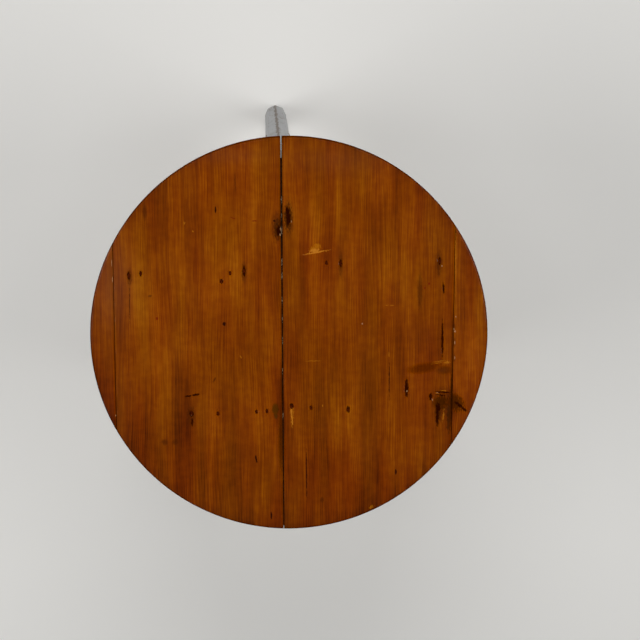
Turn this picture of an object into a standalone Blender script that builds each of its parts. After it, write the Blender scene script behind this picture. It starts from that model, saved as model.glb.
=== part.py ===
"""Cricket table: a round top of four pine boards on a splayed three-legged frame with a low shelf.

Metres, +Z up. The rear leg stands at +Y and the two front legs at 120 degrees to it. The table stands on
the plane z = 0, and the origin is under the middle of its bounding box.
"""

import math
from collections import namedtuple

import bmesh
import bpy

for old_object in list(bpy.data.objects):
    bpy.data.objects.remove(old_object, do_unlink=True)

# Driving dimensions

TABLE_HEIGHT = 0.660
FIT_GAP = 0.0003  # clearance between two pieces that touch
CUT_MARGIN = 0.010  # how far a cutting shape runs past what it cuts

TOP_DIAMETER = 0.610
TOP_THICKNESS = 0.021
TOP_EDGE_ROUND = 0.003
BOARDS_ASKEW = 2.0  # degrees: the boards lie this far clockwise of the frame, seen from above
LEFT_STRIP_WIDTH = 0.0373
RIGHT_STRIP_WIDTH = 0.0532
RIGHT_STRIP_FLARE = 0.0079  # how much wider the right strip is at the front of the top than at its rear
CENTRE_JOINT_OFFSET = -0.0111
TIGHT_JOINT_GAP = 0.0005
CENTRE_GAP_REAR = 0.0022  # the middle joint has shrunk open towards the rear
CENTRE_GAP_FRONT = 0.0008

DOWEL_DIAMETER = 0.008
DOWEL_DEPTH = 0.016  # into each of the two boards
DOWEL_CHAMFER = 0.001
STRIP_DOWEL_SPREAD = 0.060
CENTRE_DOWEL_SPREAD = 0.190

LEG_FACES = 8
LEG_TOP_WIDTH = 0.051  # across two opposite arrises
LEG_FOOT_WIDTH = 0.0398
LEG_TOP_REACH = 0.219  # from the table's axis to the leg's middle, under the top
FOOT_REACH = 0.3075  # the same, on the floor
LEG_ARRIS_ROUND = 0.002

RAIL_DEPTH = 0.085
RAIL_THICKNESS = 0.020
RAIL_OUTSET = 0.008  # from the line between two leg middles to the rail's middle
RAIL_TENON_THICKNESS = 0.008
RAIL_TENON_SHOULDER = 0.012
RAIL_PEG_DIAMETER = 0.007
RAIL_PEG_STAGGER = 0.006

STRETCHER_CLEARANCE = 0.200  # under the stretchers
STRETCHER_DEPTH = 0.030
STRETCHER_THICKNESS = 0.018
STRETCHER_OUTSET = 0.006
STRETCHER_TENON_THICKNESS = 0.007
STRETCHER_TENON_SHOULDER = 0.004
STRETCHER_PEG_DIAMETER = 0.006
STRETCHER_PEG_STAGGER = 0.004

TENON_WALL = 0.003  # wood left between the two tenons that meet in a leg
TENON_ROOT = 0.005  # overlap that makes tenon and rail one piece
PEG_PROUD = 0.001
PEG_PAST_TENON = 0.006
PEG_SETBACK = 0.015  # from a tenon's shoulder into the leg
PEG_TAPER = 0.001  # how much thinner a peg's inner end is

BATTEN_WIDTH = 0.045
BATTEN_THICKNESS = 0.020
BATTEN_OFFSET = 0.0995  # behind the table's axis
BATTEN_END_SETBACK = 0.016  # inside the rim
BATTEN_END_BEVEL = 0.010

SHELF_THICKNESS = 0.014
SHELF_OVERHANG = 0.005
SHELF_HORN = 0.005  # how far a shelf corner reaches past the leg's inner arris
SHELF_CLEARANCE = 0.001  # round each leg
SHELF_JOINT_OFFSET = 0.020
SHELF_NAIL_SPREAD = 0.100

NAIL_HEAD_LENGTH = 0.0060
NAIL_HEAD_WIDTH = 0.0036
NAIL_HEAD_THICKNESS = 0.0012
NAIL_SHANK_LENGTH = 0.0032
NAIL_SHANK_WIDTH = 0.0022
NAIL_TIP_SIDE = 0.0010
NAIL_SINK = 0.0008  # how far a head is punched below the surface
RAIL_NAIL_BITE = 0.028
STRETCHER_NAIL_BITE = 0.018
BATTEN_NAIL_COVER = 0.004  # wood under a nail's tip

# Nails along the front rail: place inwards from its end, or along it from its middle, and out from
# its middle line
LEFT_RAIL_NAILS = ((0.0095, -0.0032), (0.0502, -0.0010))
MIDDLE_RAIL_NAILS = ((-0.0562, -0.0010), (-0.0400, -0.0011), (-0.0017, -0.0060), (0.0284, -0.0033))
RIGHT_RAIL_NAILS = ((0.0801, 0.0022),)
# Nails along the batten: place inwards from its end or from where a side rail crosses it, and rearwards
LEFT_END_NAILS = ((0.0231, 0.0041), (0.0411, 0.0066))
LEFT_CROSSING_NAILS = ((-0.0224, -0.0107), (-0.0085, 0.0010), (0.0127, 0.0031))
RIGHT_CROSSING_NAILS = ((-0.0044, 0.0085), (0.0174, 0.0104))
RIGHT_END_NAILS = ((0.0293, 0.0052),)

TOP_FACETS = 120
EDGE_STEPS = 3
DOWEL_FACETS = 16
PEG_FACETS = 8

# Sizes that follow

TOP_RADIUS = TOP_DIAMETER / 2
TOP_UNDERSIDE = TABLE_HEIGHT - TOP_THICKNESS
FRAME_HEIGHT = TOP_UNDERSIDE - FIT_GAP
LEFT_JOINT = -TOP_RADIUS + LEFT_STRIP_WIDTH
FACE_HALF_ANGLE = math.pi / LEG_FACES
ARRIS_LOSS = LEG_ARRIS_ROUND / math.tan(FACE_HALF_ANGLE) * (1 / math.cos(FACE_HALF_ANGLE) - 1)
REAR_REACH = FOOT_REACH + LEG_FOOT_WIDTH / 2 - ARRIS_LOSS
PLAN_SHIFT = (REAR_REACH - TOP_RADIUS) / 2  # the rear foot stands out past the rim

LEG_ANGLES = {"rear": 90, "front_left": 210, "front_right": 330}
SIDE_ANGLES = {"front": 270, "left": 150, "right": 30}

# A rail runs at 30 degrees to the line from its leg to the table's axis, and an arris of the leg points
# along that line. So the rail meets two faces of the leg: one a little off square, and the next one further.
RAIL_ANGLE = math.radians(30)
HALF_SPAN_SHARE = math.cos(RAIL_ANGLE)
SIDE_REACH_SHARE = math.sin(RAIL_ANGLE)
INNER_SKEW = RAIL_ANGLE - FACE_HALF_ANGLE
OUTER_SKEW = 3 * FACE_HALF_ANGLE - RAIL_ANGLE

Crosspiece = namedtuple(
    "Crosspiece",
    "bottom top thickness outset tenon_thickness tenon_shoulder peg_diameter peg_stagger",
)
RAIL = Crosspiece(
    bottom=FRAME_HEIGHT - RAIL_DEPTH,
    top=FRAME_HEIGHT,
    thickness=RAIL_THICKNESS,
    outset=RAIL_OUTSET,
    tenon_thickness=RAIL_TENON_THICKNESS,
    tenon_shoulder=RAIL_TENON_SHOULDER,
    peg_diameter=RAIL_PEG_DIAMETER,
    peg_stagger=RAIL_PEG_STAGGER,
)
STRETCHER = Crosspiece(
    bottom=STRETCHER_CLEARANCE,
    top=STRETCHER_CLEARANCE + STRETCHER_DEPTH,
    thickness=STRETCHER_THICKNESS,
    outset=STRETCHER_OUTSET,
    tenon_thickness=STRETCHER_TENON_THICKNESS,
    tenon_shoulder=STRETCHER_TENON_SHOULDER,
    peg_diameter=STRETCHER_PEG_DIAMETER,
    peg_stagger=STRETCHER_PEG_STAGGER,
)
SHELF_BOTTOM = STRETCHER.top + FIT_GAP
SHELF_TOP = SHELF_BOTTOM + SHELF_THICKNESS

# Finishes


def linear(hex_colour):
    """sRGB hex to the linear red, green, blue and alpha that a shader takes."""
    channels = [int(hex_colour[i : i + 2], 16) / 255 for i in (1, 3, 5)]
    return [((c + 0.055) / 1.055) ** 2.4 if c > 0.04045 else c / 12.92 for c in channels] + [1.0]


def finish(name, colour, roughness, metallic=0.0):
    material = bpy.data.materials.new(name)
    material.use_nodes = True
    shader = material.node_tree.nodes["Principled BSDF"]
    shader.inputs["Base Color"].default_value = linear(colour)
    shader.inputs["Roughness"].default_value = roughness
    shader.inputs["Metallic"].default_value = metallic
    return material


VARNISHED_PINE = finish("varnished_pine", "#7a3a08", 0.35)
BARE_PINE = finish("bare_pine", "#8a6238", 0.75)
GREY_PAINT = finish("grey_paint", "#a09d98", 0.65)
PEG_WOOD = finish("peg_wood", "#8d7f6c", 0.70)
DOWEL_WOOD = finish("dowel_wood", "#b48b58", 0.70)
NAIL_IRON = finish("nail_iron", "#3a332d", 0.60, metallic=1.0)

# Building blocks

table = bpy.data.objects.new("table", None)
table.location.y = -PLAN_SHIFT
bpy.context.collection.objects.link(table)


def loft(name, rings, material=None, smooth_angle=None, turn=0.0, rounding=0.0):
    """Closed solid through rings of points: sides between neighbouring rings and a cap at each end.

    It stands in the table's own plan, turned about the table's axis. Rounding bevels the edges that run
    from the first ring to the last. With no material it is a cutting shape or a guide, which stays hidden.
    """
    shape = bmesh.new()
    loops = [[shape.verts.new(point) for point in ring] for ring in rings]
    for lower, upper in zip(loops, loops[1:]):
        for i in range(len(lower)):
            j = (i + 1) % len(lower)
            shape.faces.new((lower[i], lower[j], upper[j], upper[i]))
    shape.faces.new(loops[0])
    shape.faces.new(loops[-1])
    if rounding:
        caps = set(loops[0]), set(loops[-1])
        running = [edge for edge in shape.edges if not any(set(edge.verts) <= cap for cap in caps)]
        bmesh.ops.bevel(shape, geom=running, offset=rounding, segments=2, profile=0.5, affect="EDGES")
    bmesh.ops.recalc_face_normals(shape, faces=shape.faces)
    mesh = bpy.data.meshes.new(name)
    shape.to_mesh(mesh)
    shape.free()
    if smooth_angle:
        mesh.shade_smooth()
        mesh.set_sharp_from_angle(angle=math.radians(smooth_angle))
    piece = bpy.data.objects.new(name, mesh)
    piece.parent = table
    piece.rotation_euler.z = math.radians(turn)
    bpy.context.collection.objects.link(piece)
    if material:
        mesh.materials.append(material)
    else:
        piece.hide_render = True
        piece.display_type = "WIRE"
    return piece


def combine(piece, operation, others):
    """Adds one Boolean to the piece for each of the other shapes."""
    for other in others:
        boolean = piece.modifiers.new(f"{operation.lower()}_{other.name}", "BOOLEAN")
        boolean.operation = operation
        boolean.object = other
        boolean.solver = "EXACT"


def rectangle(x_low, x_high, y_low, y_high, z):
    return [(x_low, y_low, z), (x_high, y_low, z), (x_high, y_high, z), (x_low, y_high, z)]


def circle(radius, facets):
    """Points round a circle, first one on the first axis, as pairs."""
    angles = [2 * math.pi * i / facets for i in range(facets)]
    return [(radius * math.cos(angle), radius * math.sin(angle)) for angle in angles]


# Nails: a flat oblong head on a tapered shank, the long side along the grain of the top


def nail_rings(x, y, head_top, tip, grow=0.0):
    """The nail's rings, or those of its hole where it is grown and its head reaches past the surface."""
    head_x = NAIL_HEAD_WIDTH / 2 + grow
    head_y = NAIL_HEAD_LENGTH / 2 + grow
    shank_x = NAIL_SHANK_WIDTH / 2 + grow
    shank_y = NAIL_SHANK_LENGTH / 2 + grow
    tip_half = NAIL_TIP_SIDE / 2 + grow
    head_bottom = head_top - NAIL_HEAD_THICKNESS - grow
    mouth = head_top + CUT_MARGIN if grow else head_top
    return [
        rectangle(x - head_x, x + head_x, y - head_y, y + head_y, mouth),
        rectangle(x - head_x, x + head_x, y - head_y, y + head_y, head_bottom),
        rectangle(x - shank_x, x + shank_x, y - shank_y, y + shank_y, head_bottom),
        rectangle(x - tip_half, x + tip_half, y - tip_half, y + tip_half, tip - grow),
    ]


def nail(name, x, y, surface, tip, turn=0.0):
    """A nail driven down from a surface; returns the shape of its hole."""
    head_top = surface - NAIL_SINK
    loft(name, nail_rings(x, y, head_top, tip), NAIL_IRON, turn=turn)
    return loft(f"{name}_hole", nail_rings(x, y, head_top, tip, FIT_GAP), turn=turn)


# Legs: eight-sided, with an arris straight outwards, tapered and splayed


def leg_reach(height):
    """Distance from the table's axis to a leg's middle at this height."""
    return FOOT_REACH + (LEG_TOP_REACH - FOOT_REACH) * height / FRAME_HEIGHT


def leg_corner(height, grow=0.0):
    """Distance from a leg's middle to its arrises. Growing moves each face out by that much."""
    width = LEG_FOOT_WIDTH + (LEG_TOP_WIDTH - LEG_FOOT_WIDTH) * height / FRAME_HEIGHT
    return width / 2 + grow / math.cos(FACE_HALF_ANGLE)


def leg_face(height, grow=0.0):
    """Distance from a leg's middle to its faces."""
    return leg_corner(height, grow) * math.cos(FACE_HALF_ANGLE)


def leg_ring(height, grow=0.0):
    """The leg's section with one corner pointing straight out along +Y."""
    reach = leg_reach(height)
    return [(x, reach + y, height) for x, y in circle(leg_corner(height, grow), LEG_FACES)]


legs = {}
for leg_name, leg_angle in LEG_ANGLES.items():
    legs[leg_name] = loft(
        f"{leg_name}_leg",
        [leg_ring(0.0), leg_ring(FRAME_HEIGHT)],
        GREY_PAINT,
        turn=leg_angle - 90,
        rounding=LEG_ARRIS_ROUND,
    )

# Rails and stretchers: each lies along X with +Y outwards, leans with its two legs and is tenoned into them


def middle_line(part, height):
    """Distance from the table's axis out to the middle of the crosspiece's thickness."""
    return leg_reach(height) * SIDE_REACH_SHARE + part.outset


def arris_line(height):
    """Distance from the table's axis out to the arris between the two faces that a crosspiece meets."""
    aside = leg_corner(height, FIT_GAP) * math.sin(2 * FACE_HALF_ANGLE - RAIL_ANGLE)
    return leg_reach(height) * SIDE_REACH_SHARE + aside


def shoulder(out, height):
    """Half length of a crosspiece where, this far out, it meets a face of the leg."""
    reach = leg_reach(height)
    face = leg_face(height, FIT_GAP)
    aside = out - reach * SIDE_REACH_SHARE
    to_inner_face = (face + aside * math.sin(INNER_SKEW)) / math.cos(INNER_SKEW)
    to_outer_face = (face - aside * math.sin(OUTER_SKEW)) / math.cos(OUTER_SKEW)
    return reach * HALF_SPAN_SHARE - min(to_inner_face, to_outer_face)


def tenon_tip(part, height):
    """Half length over the tenons, which stop just short of the next crosspiece's tenon."""
    past_middle = math.sqrt(3) * (part.outset - part.tenon_thickness / 2) - TENON_WALL
    return leg_reach(height) * HALF_SPAN_SHARE + past_middle


def body_ring(part, height):
    inside = middle_line(part, height) - part.thickness / 2
    outside = middle_line(part, height) + part.thickness / 2
    right_end = [(shoulder(out, height), out) for out in (inside, arris_line(height), outside)]
    left_end = [(-along, out) for along, out in reversed(right_end)]
    return [(along, out, height) for along, out in right_end + left_end]


def tenon_rings(part, end, grow=0.0):
    """The tenon at one end, +1 or -1 along X, or its mortise where it is grown."""
    rings = []
    for height in (part.bottom + part.tenon_shoulder - grow, part.top - part.tenon_shoulder + grow):
        middle = middle_line(part, height)
        half = part.tenon_thickness / 2 + grow
        root = end * (shoulder(middle, height) - TENON_ROOT)
        tip = end * (tenon_tip(part, height) + grow)
        rings.append(rectangle(root, tip, middle - half, middle + half, height))
    return rings


def peg_rings(part, end, grow=0.0):
    """The peg that pins one tenon, driven in from the leg's outer face, or its hole where it is grown."""
    height = (part.bottom + part.top) / 2 + end * part.peg_stagger
    middle = middle_line(part, height)
    reach = leg_reach(height)
    along = shoulder(middle, height) + PEG_SETBACK
    back = reach * HALF_SPAN_SHARE - along
    face = (leg_face(height) - back * math.sin(INNER_SKEW)) / math.cos(INNER_SKEW)
    outer = reach * SIDE_REACH_SHARE + face + (CUT_MARGIN if grow else PEG_PROUD)
    inner = middle - part.tenon_thickness / 2 - PEG_PAST_TENON - grow
    outer_radius = part.peg_diameter / 2 + grow
    inner_radius = (part.peg_diameter - PEG_TAPER) / 2 + grow
    return [
        [(end * along + x, outer, height + z) for x, z in circle(outer_radius, PEG_FACETS)],
        [(end * along + x, inner, height + z) for x, z in circle(inner_radius, PEG_FACETS)],
    ]


def leg_at(side_angle, end):
    """Name of the leg that this end of a crosspiece meets."""
    wanted = (side_angle - 60 * end) % 360
    return next(name for name, angle in LEG_ANGLES.items() if angle == wanted)


def crosspiece(name, part, side_angle):
    """A rail or stretcher with its two tenons, their mortises in the legs, and their pegs."""
    turn = side_angle - 90
    body = loft(name, [body_ring(part, part.bottom), body_ring(part, part.top)], GREY_PAINT, turn=turn)
    for end in (1, -1):
        leg_name = leg_at(side_angle, end)
        tag = f"{name}_{leg_name}"
        tenon = loft(f"{tag}_tenon", tenon_rings(part, end), turn=turn)
        mortise = loft(f"{tag}_mortise", tenon_rings(part, end, FIT_GAP), turn=turn)
        peg_hole = loft(f"{tag}_peg_hole", peg_rings(part, end, FIT_GAP), turn=turn)
        loft(f"{tag}_peg", peg_rings(part, end), PEG_WOOD, turn=turn)
        combine(body, "UNION", [tenon])
        combine(body, "DIFFERENCE", [peg_hole])
        combine(legs[leg_name], "DIFFERENCE", [mortise, peg_hole])
    return body


rails = {side: crosspiece(f"{side}_rail", RAIL, angle) for side, angle in SIDE_ANGLES.items()}
stretchers = {
    side: crosspiece(f"{side}_stretcher", STRETCHER, angle) for side, angle in SIDE_ANGLES.items()
}

# Cross batten: let into the two side rails, bevelled underneath at its ends

BATTEN_REAR_EDGE = BATTEN_OFFSET + BATTEN_WIDTH / 2
BATTEN_FRONT_EDGE = BATTEN_OFFSET - BATTEN_WIDTH / 2
BATTEN_HALF_LENGTH = math.sqrt(TOP_RADIUS**2 - BATTEN_REAR_EDGE**2) - BATTEN_END_SETBACK


def batten_ring(x, bottom, top):
    return [
        (x, BATTEN_FRONT_EDGE, bottom),
        (x, BATTEN_REAR_EDGE, bottom),
        (x, BATTEN_REAR_EDGE, top),
        (x, BATTEN_FRONT_EDGE, top),
    ]


batten_bottom = FRAME_HEIGHT - BATTEN_THICKNESS
batten_bevelled = batten_bottom + BATTEN_END_BEVEL
batten = loft(
    "cross_batten",
    [
        batten_ring(-BATTEN_HALF_LENGTH, batten_bevelled, FRAME_HEIGHT),
        batten_ring(-BATTEN_HALF_LENGTH + BATTEN_END_BEVEL, batten_bottom, FRAME_HEIGHT),
        batten_ring(BATTEN_HALF_LENGTH - BATTEN_END_BEVEL, batten_bottom, FRAME_HEIGHT),
        batten_ring(BATTEN_HALF_LENGTH, batten_bevelled, FRAME_HEIGHT),
    ],
    BARE_PINE,
)
batten_seat = loft(
    "batten_seat",
    [
        rectangle(
            -BATTEN_HALF_LENGTH,
            BATTEN_HALF_LENGTH,
            BATTEN_FRONT_EDGE - FIT_GAP,
            BATTEN_REAR_EDGE + FIT_GAP,
            height,
        )
        for height in (batten_bottom - FIT_GAP, FRAME_HEIGHT + CUT_MARGIN)
    ],
)
combine(rails["left"], "DIFFERENCE", [batten_seat])
combine(rails["right"], "DIFFERENCE", [batten_seat])

# Top: a disc with rounded edges, sawn into four boards


def top_disc():
    """Guide disc: the top's whole outline, with a quarter round at its upper and lower edge."""
    rings = []
    for edge_height, way in ((TOP_UNDERSIDE + TOP_EDGE_ROUND, -1), (TABLE_HEIGHT - TOP_EDGE_ROUND, 1)):
        steps = range(EDGE_STEPS + 1) if way > 0 else range(EDGE_STEPS, -1, -1)
        for step in steps:
            angle = math.pi / 2 * step / EDGE_STEPS
            radius = TOP_RADIUS - TOP_EDGE_ROUND * (1 - math.cos(angle))
            height = edge_height + way * TOP_EDGE_ROUND * math.sin(angle)
            rings.append([(x, y, height) for x, y in circle(radius, TOP_FACETS)])
    return loft("top_outline", rings, smooth_angle=40)


def right_joint(y):
    """X of the right joint, which runs a little askew."""
    return TOP_RADIUS - RIGHT_STRIP_WIDTH + RIGHT_STRIP_FLARE * y / TOP_DIAMETER


outline = top_disc()
BOARD_END = TOP_RADIUS + CUT_MARGIN
centre_left = (
    CENTRE_JOINT_OFFSET - CENTRE_GAP_FRONT / 2,
    CENTRE_JOINT_OFFSET - CENTRE_GAP_REAR / 2,
)
centre_right = (
    CENTRE_JOINT_OFFSET + CENTRE_GAP_FRONT / 2,
    CENTRE_JOINT_OFFSET + CENTRE_GAP_REAR / 2,
)
left_outer = (LEFT_JOINT - TIGHT_JOINT_GAP / 2,) * 2
left_inner = (LEFT_JOINT + TIGHT_JOINT_GAP / 2,) * 2
right_inner = tuple(right_joint(end) - TIGHT_JOINT_GAP / 2 for end in (-BOARD_END, BOARD_END))
right_outer = tuple(right_joint(end) + TIGHT_JOINT_GAP / 2 for end in (-BOARD_END, BOARD_END))


def top_board(name, left_edge, right_edge):
    """One board between two edges, each given by its X at the front and at the rear of the top."""
    rings = [
        [
            (left_edge[0], -BOARD_END, height),
            (right_edge[0], -BOARD_END, height),
            (right_edge[1], BOARD_END, height),
            (left_edge[1], BOARD_END, height),
        ]
        for height in (TOP_UNDERSIDE - CUT_MARGIN, TABLE_HEIGHT + CUT_MARGIN)
    ]
    board = loft(name, rings, VARNISHED_PINE, turn=-BOARDS_ASKEW)
    combine(board, "INTERSECT", [outline])
    return board


left_strip = top_board("top_left_strip", (-BOARD_END, -BOARD_END), left_outer)
left_board = top_board("top_left_board", left_inner, centre_left)
right_board = top_board("top_right_board", centre_right, right_inner)
right_strip = top_board("top_right_strip", right_outer, (BOARD_END, BOARD_END))

# Edge dowels across the three joints of the top


def dowel_rings(joint, y, grow=0.0):
    radius = DOWEL_DIAMETER / 2 + grow
    half = DOWEL_DEPTH + grow
    height = (TOP_UNDERSIDE + TABLE_HEIGHT) / 2
    stations = (
        (-half, radius - DOWEL_CHAMFER),
        (-half + DOWEL_CHAMFER, radius),
        (half - DOWEL_CHAMFER, radius),
        (half, radius - DOWEL_CHAMFER),
    )
    return [
        [(joint + along, y + across, height + up) for across, up in circle(size, DOWEL_FACETS)]
        for along, size in stations
    ]


def dowel(name, joint, y, boards):
    loft(name, dowel_rings(joint, y), DOWEL_WOOD, smooth_angle=40, turn=-BOARDS_ASKEW)
    hole = loft(f"{name}_hole", dowel_rings(joint, y, FIT_GAP), turn=-BOARDS_ASKEW)
    for board in boards:
        combine(board, "DIFFERENCE", [hole])


for place, way in (("front", -1), ("rear", 1)):
    strip_y = way * STRIP_DOWEL_SPREAD
    dowel(f"left_dowel_{place}", LEFT_JOINT, strip_y, (left_strip, left_board))
    dowel(f"right_dowel_{place}", right_joint(strip_y), strip_y, (right_board, right_strip))
    dowel(
        f"centre_dowel_{place}", CENTRE_JOINT_OFFSET, way * CENTRE_DOWEL_SPREAD, (left_board, right_board)
    )
dowel("centre_dowel_middle", CENTRE_JOINT_OFFSET, 0.0, (left_board, right_board))

# Nails through the top into the front rail and the batten


def board_over(x, y):
    askew = math.radians(BOARDS_ASKEW)
    across = x * math.cos(askew) - y * math.sin(askew)
    return left_board if across < CENTRE_JOINT_OFFSET else right_board


front_line = middle_line(RAIL, FRAME_HEIGHT)
rail_end = shoulder(front_line, FRAME_HEIGHT)
rail_nails = [(-rail_end + along, out) for along, out in LEFT_RAIL_NAILS]
rail_nails += MIDDLE_RAIL_NAILS
rail_nails += [(rail_end - along, out) for along, out in RIGHT_RAIL_NAILS]
for number, (along, out) in enumerate(rail_nails, start=1):
    tip = FRAME_HEIGHT - RAIL_NAIL_BITE
    nail_hole = nail(f"rail_nail_{number}", along, -front_line - out, TABLE_HEIGHT, tip)
    combine(board_over(along, -front_line - out), "DIFFERENCE", [nail_hole])
    combine(rails["front"], "DIFFERENCE", [nail_hole])

rail_slope = 1 / math.tan(math.radians(SIDE_ANGLES["right"]))
crossing = front_line / HALF_SPAN_SHARE - BATTEN_OFFSET / rail_slope
batten_nails = [(-BATTEN_HALF_LENGTH + along, rear) for along, rear in LEFT_END_NAILS]
batten_nails += [(-crossing + along, rear) for along, rear in LEFT_CROSSING_NAILS]
batten_nails += [(crossing - along, rear) for along, rear in RIGHT_CROSSING_NAILS]
batten_nails += [(BATTEN_HALF_LENGTH - along, rear) for along, rear in RIGHT_END_NAILS]
for number, (x, rear) in enumerate(batten_nails, start=1):
    tip = batten_bottom + BATTEN_NAIL_COVER
    nail_hole = nail(f"batten_nail_{number}", x, BATTEN_OFFSET + rear, TABLE_HEIGHT, tip)
    combine(board_over(x, BATTEN_OFFSET + rear), "DIFFERENCE", [nail_hole])
    combine(batten, "DIFFERENCE", [nail_hole])

# Shelf: a triangle with its corners cut off and notched round the legs, in two boards on the stretchers


def shelf_outline():
    """Guide slab: edges that overhang the stretchers, corners that stop part way past each leg's inside."""
    edge = middle_line(STRETCHER, STRETCHER.top) + STRETCHER_THICKNESS / 2 + SHELF_OVERHANG
    corner = leg_reach(SHELF_TOP) - leg_corner(SHELF_TOP) + SHELF_HORN
    half_corner = (edge / SIDE_REACH_SHARE - corner) * math.tan(math.radians(30))
    points = []
    for angle in map(math.radians, LEG_ANGLES.values()):
        for side in (-half_corner, half_corner):
            x = corner * math.cos(angle) - side * math.sin(angle)
            y = corner * math.sin(angle) + side * math.cos(angle)
            points.append((x, y))
    return loft("shelf_outline", [[(x, y, z) for x, y in points] for z in (SHELF_BOTTOM, SHELF_TOP)])


shelf_slab = shelf_outline()
leg_notches = [
    loft(
        f"{leg_name}_shelf_notch",
        [
            leg_ring(SHELF_BOTTOM - CUT_MARGIN, SHELF_CLEARANCE),
            leg_ring(SHELF_TOP + CUT_MARGIN, SHELF_CLEARANCE),
        ],
        turn=leg_angle - 90,
    )
    for leg_name, leg_angle in LEG_ANGLES.items()
]


def shelf_board(name, front, rear):
    """The part of the shelf between two lines across the table."""
    reach = FOOT_REACH
    heights = (SHELF_BOTTOM - CUT_MARGIN, SHELF_TOP + CUT_MARGIN)
    board = loft(name, [rectangle(-reach, reach, front, rear, height) for height in heights], GREY_PAINT)
    combine(board, "INTERSECT", [shelf_slab])
    combine(board, "DIFFERENCE", leg_notches)
    return board


front_shelf = shelf_board("shelf_front_board", -FOOT_REACH, SHELF_JOINT_OFFSET - TIGHT_JOINT_GAP / 2)
rear_shelf = shelf_board("shelf_rear_board", SHELF_JOINT_OFFSET + TIGHT_JOINT_GAP / 2, FOOT_REACH)

stretcher_line = middle_line(STRETCHER, STRETCHER.top)
for side, side_angle in SIDE_ANGLES.items():
    for end in (1, -1):
        leg_name = leg_at(side_angle, end)
        shelf_nail_hole = nail(
            f"{side}_shelf_nail_{leg_name}",
            end * SHELF_NAIL_SPREAD,
            stretcher_line,
            SHELF_TOP,
            STRETCHER.top - STRETCHER_NAIL_BITE,
            turn=side_angle - 90,
        )
        combine(rear_shelf if leg_name == "rear" else front_shelf, "DIFFERENCE", [shelf_nail_hole])
        combine(stretchers[side], "DIFFERENCE", [shelf_nail_hole])
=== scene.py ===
# %% [markdown]
# # Dressing a cricket table
# A cricket table is a small country table: a round top on three splayed legs, which stand firm on any
# floor. This one has a top of four old pine boards, stained and varnished a warm red-brown, with two rows
# of sunk nails, an open middle joint and a life's worth of knocks. Its frame wears old grey paint, rubbed
# through at the arrises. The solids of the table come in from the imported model. They give every size and
# place. This lesson lays worked wood, worn paint and rusty iron over them, one piece at a time.

import math
from collections import namedtuple

import bmesh
import bpy
import numpy as np
from mathutils import Matrix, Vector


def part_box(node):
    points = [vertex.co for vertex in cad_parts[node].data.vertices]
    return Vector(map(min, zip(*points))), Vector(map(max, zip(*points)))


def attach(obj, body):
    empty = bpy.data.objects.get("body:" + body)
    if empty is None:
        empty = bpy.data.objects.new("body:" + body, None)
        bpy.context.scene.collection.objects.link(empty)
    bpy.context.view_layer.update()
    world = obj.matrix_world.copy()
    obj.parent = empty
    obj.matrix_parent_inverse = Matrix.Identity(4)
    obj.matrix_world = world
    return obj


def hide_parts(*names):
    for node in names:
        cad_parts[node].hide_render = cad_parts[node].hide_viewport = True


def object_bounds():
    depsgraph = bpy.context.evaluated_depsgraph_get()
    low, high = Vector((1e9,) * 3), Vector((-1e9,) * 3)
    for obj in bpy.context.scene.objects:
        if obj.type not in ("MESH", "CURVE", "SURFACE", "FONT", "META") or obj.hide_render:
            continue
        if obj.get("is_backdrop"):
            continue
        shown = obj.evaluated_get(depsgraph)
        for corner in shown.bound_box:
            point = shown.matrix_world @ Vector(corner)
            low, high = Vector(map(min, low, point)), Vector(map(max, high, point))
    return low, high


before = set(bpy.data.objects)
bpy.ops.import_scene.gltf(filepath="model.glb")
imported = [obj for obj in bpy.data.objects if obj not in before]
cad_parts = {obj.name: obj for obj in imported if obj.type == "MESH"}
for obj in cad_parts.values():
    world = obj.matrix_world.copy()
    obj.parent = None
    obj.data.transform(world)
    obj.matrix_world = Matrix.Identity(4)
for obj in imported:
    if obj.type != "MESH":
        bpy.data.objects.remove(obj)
solids_box = [list(corner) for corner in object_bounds()]
print("solids:", len(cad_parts), "from", solids_box[0], "to", solids_box[1])

# %% [markdown]
# ## Measuring
# Nothing is placed by guess: each size is read from the solids. The four boards share one circle, so the
# box round them gives the table's upright axis, the top's radius and its height.

# %% Measure the top
MM = 0.001
TOP_NODES = ("top_left_strip", "top_left_board", "top_right_board", "top_right_strip")


def node_points(name):
    """All corner points of one solid, as an array of rows x, y, z."""
    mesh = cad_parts[name].data
    points = np.empty(len(mesh.vertices) * 3, np.float32)
    mesh.vertices.foreach_get("co", points)
    return points.reshape(-1, 3).astype(float)


top_points = np.vstack([node_points(name) for name in TOP_NODES])
top_low, top_high = top_points.min(0), top_points.max(0)
TOP_RADIUS = (top_high[0] - top_low[0]) / 2
TOP_HEIGHT = top_high[2]
TOP_UNDERSIDE = top_low[2]
AXIS = np.array([(top_low[0] + top_high[0]) / 2, (top_low[1] + top_high[1]) / 2, 0.0])
print(f"top: radius {TOP_RADIUS / MM:.1f} mm, {TOP_HEIGHT / MM:.1f} mm high, axis at {AXIS[:2]}")

# %% [markdown]
# ## The camera
# The picture looks almost square on to the top, from a little towards the rear leg, so that one foot
# shows past the rim. A long lens from nearly three metres gives its flat perspective. The camera is first
# pointed at the middle of the top, then turned until that middle sits on its own pixel and the joints
# lean as they do there. Because the camera is known, a pixel can be carried back on to the top: marks are
# placed that way.

# %% Turn pixels into directions
PICTURE_SIDE = 640  # pixels
LENS_MM = 105.0
SENSOR_MM = 36.0
FOCAL_PIXELS = LENS_MM / SENSOR_MM * PICTURE_SIDE
CAMERA_DISTANCE = 2.8632


def sight_line(pixel):
    """Direction of a pixel's ray in the camera's own axes: right, up, and backwards."""
    right = (pixel[0] - PICTURE_SIDE / 2) / FOCAL_PIXELS
    up = (PICTURE_SIDE / 2 - pixel[1]) / FOCAL_PIXELS
    return np.array([right, up, -1.0])


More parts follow.
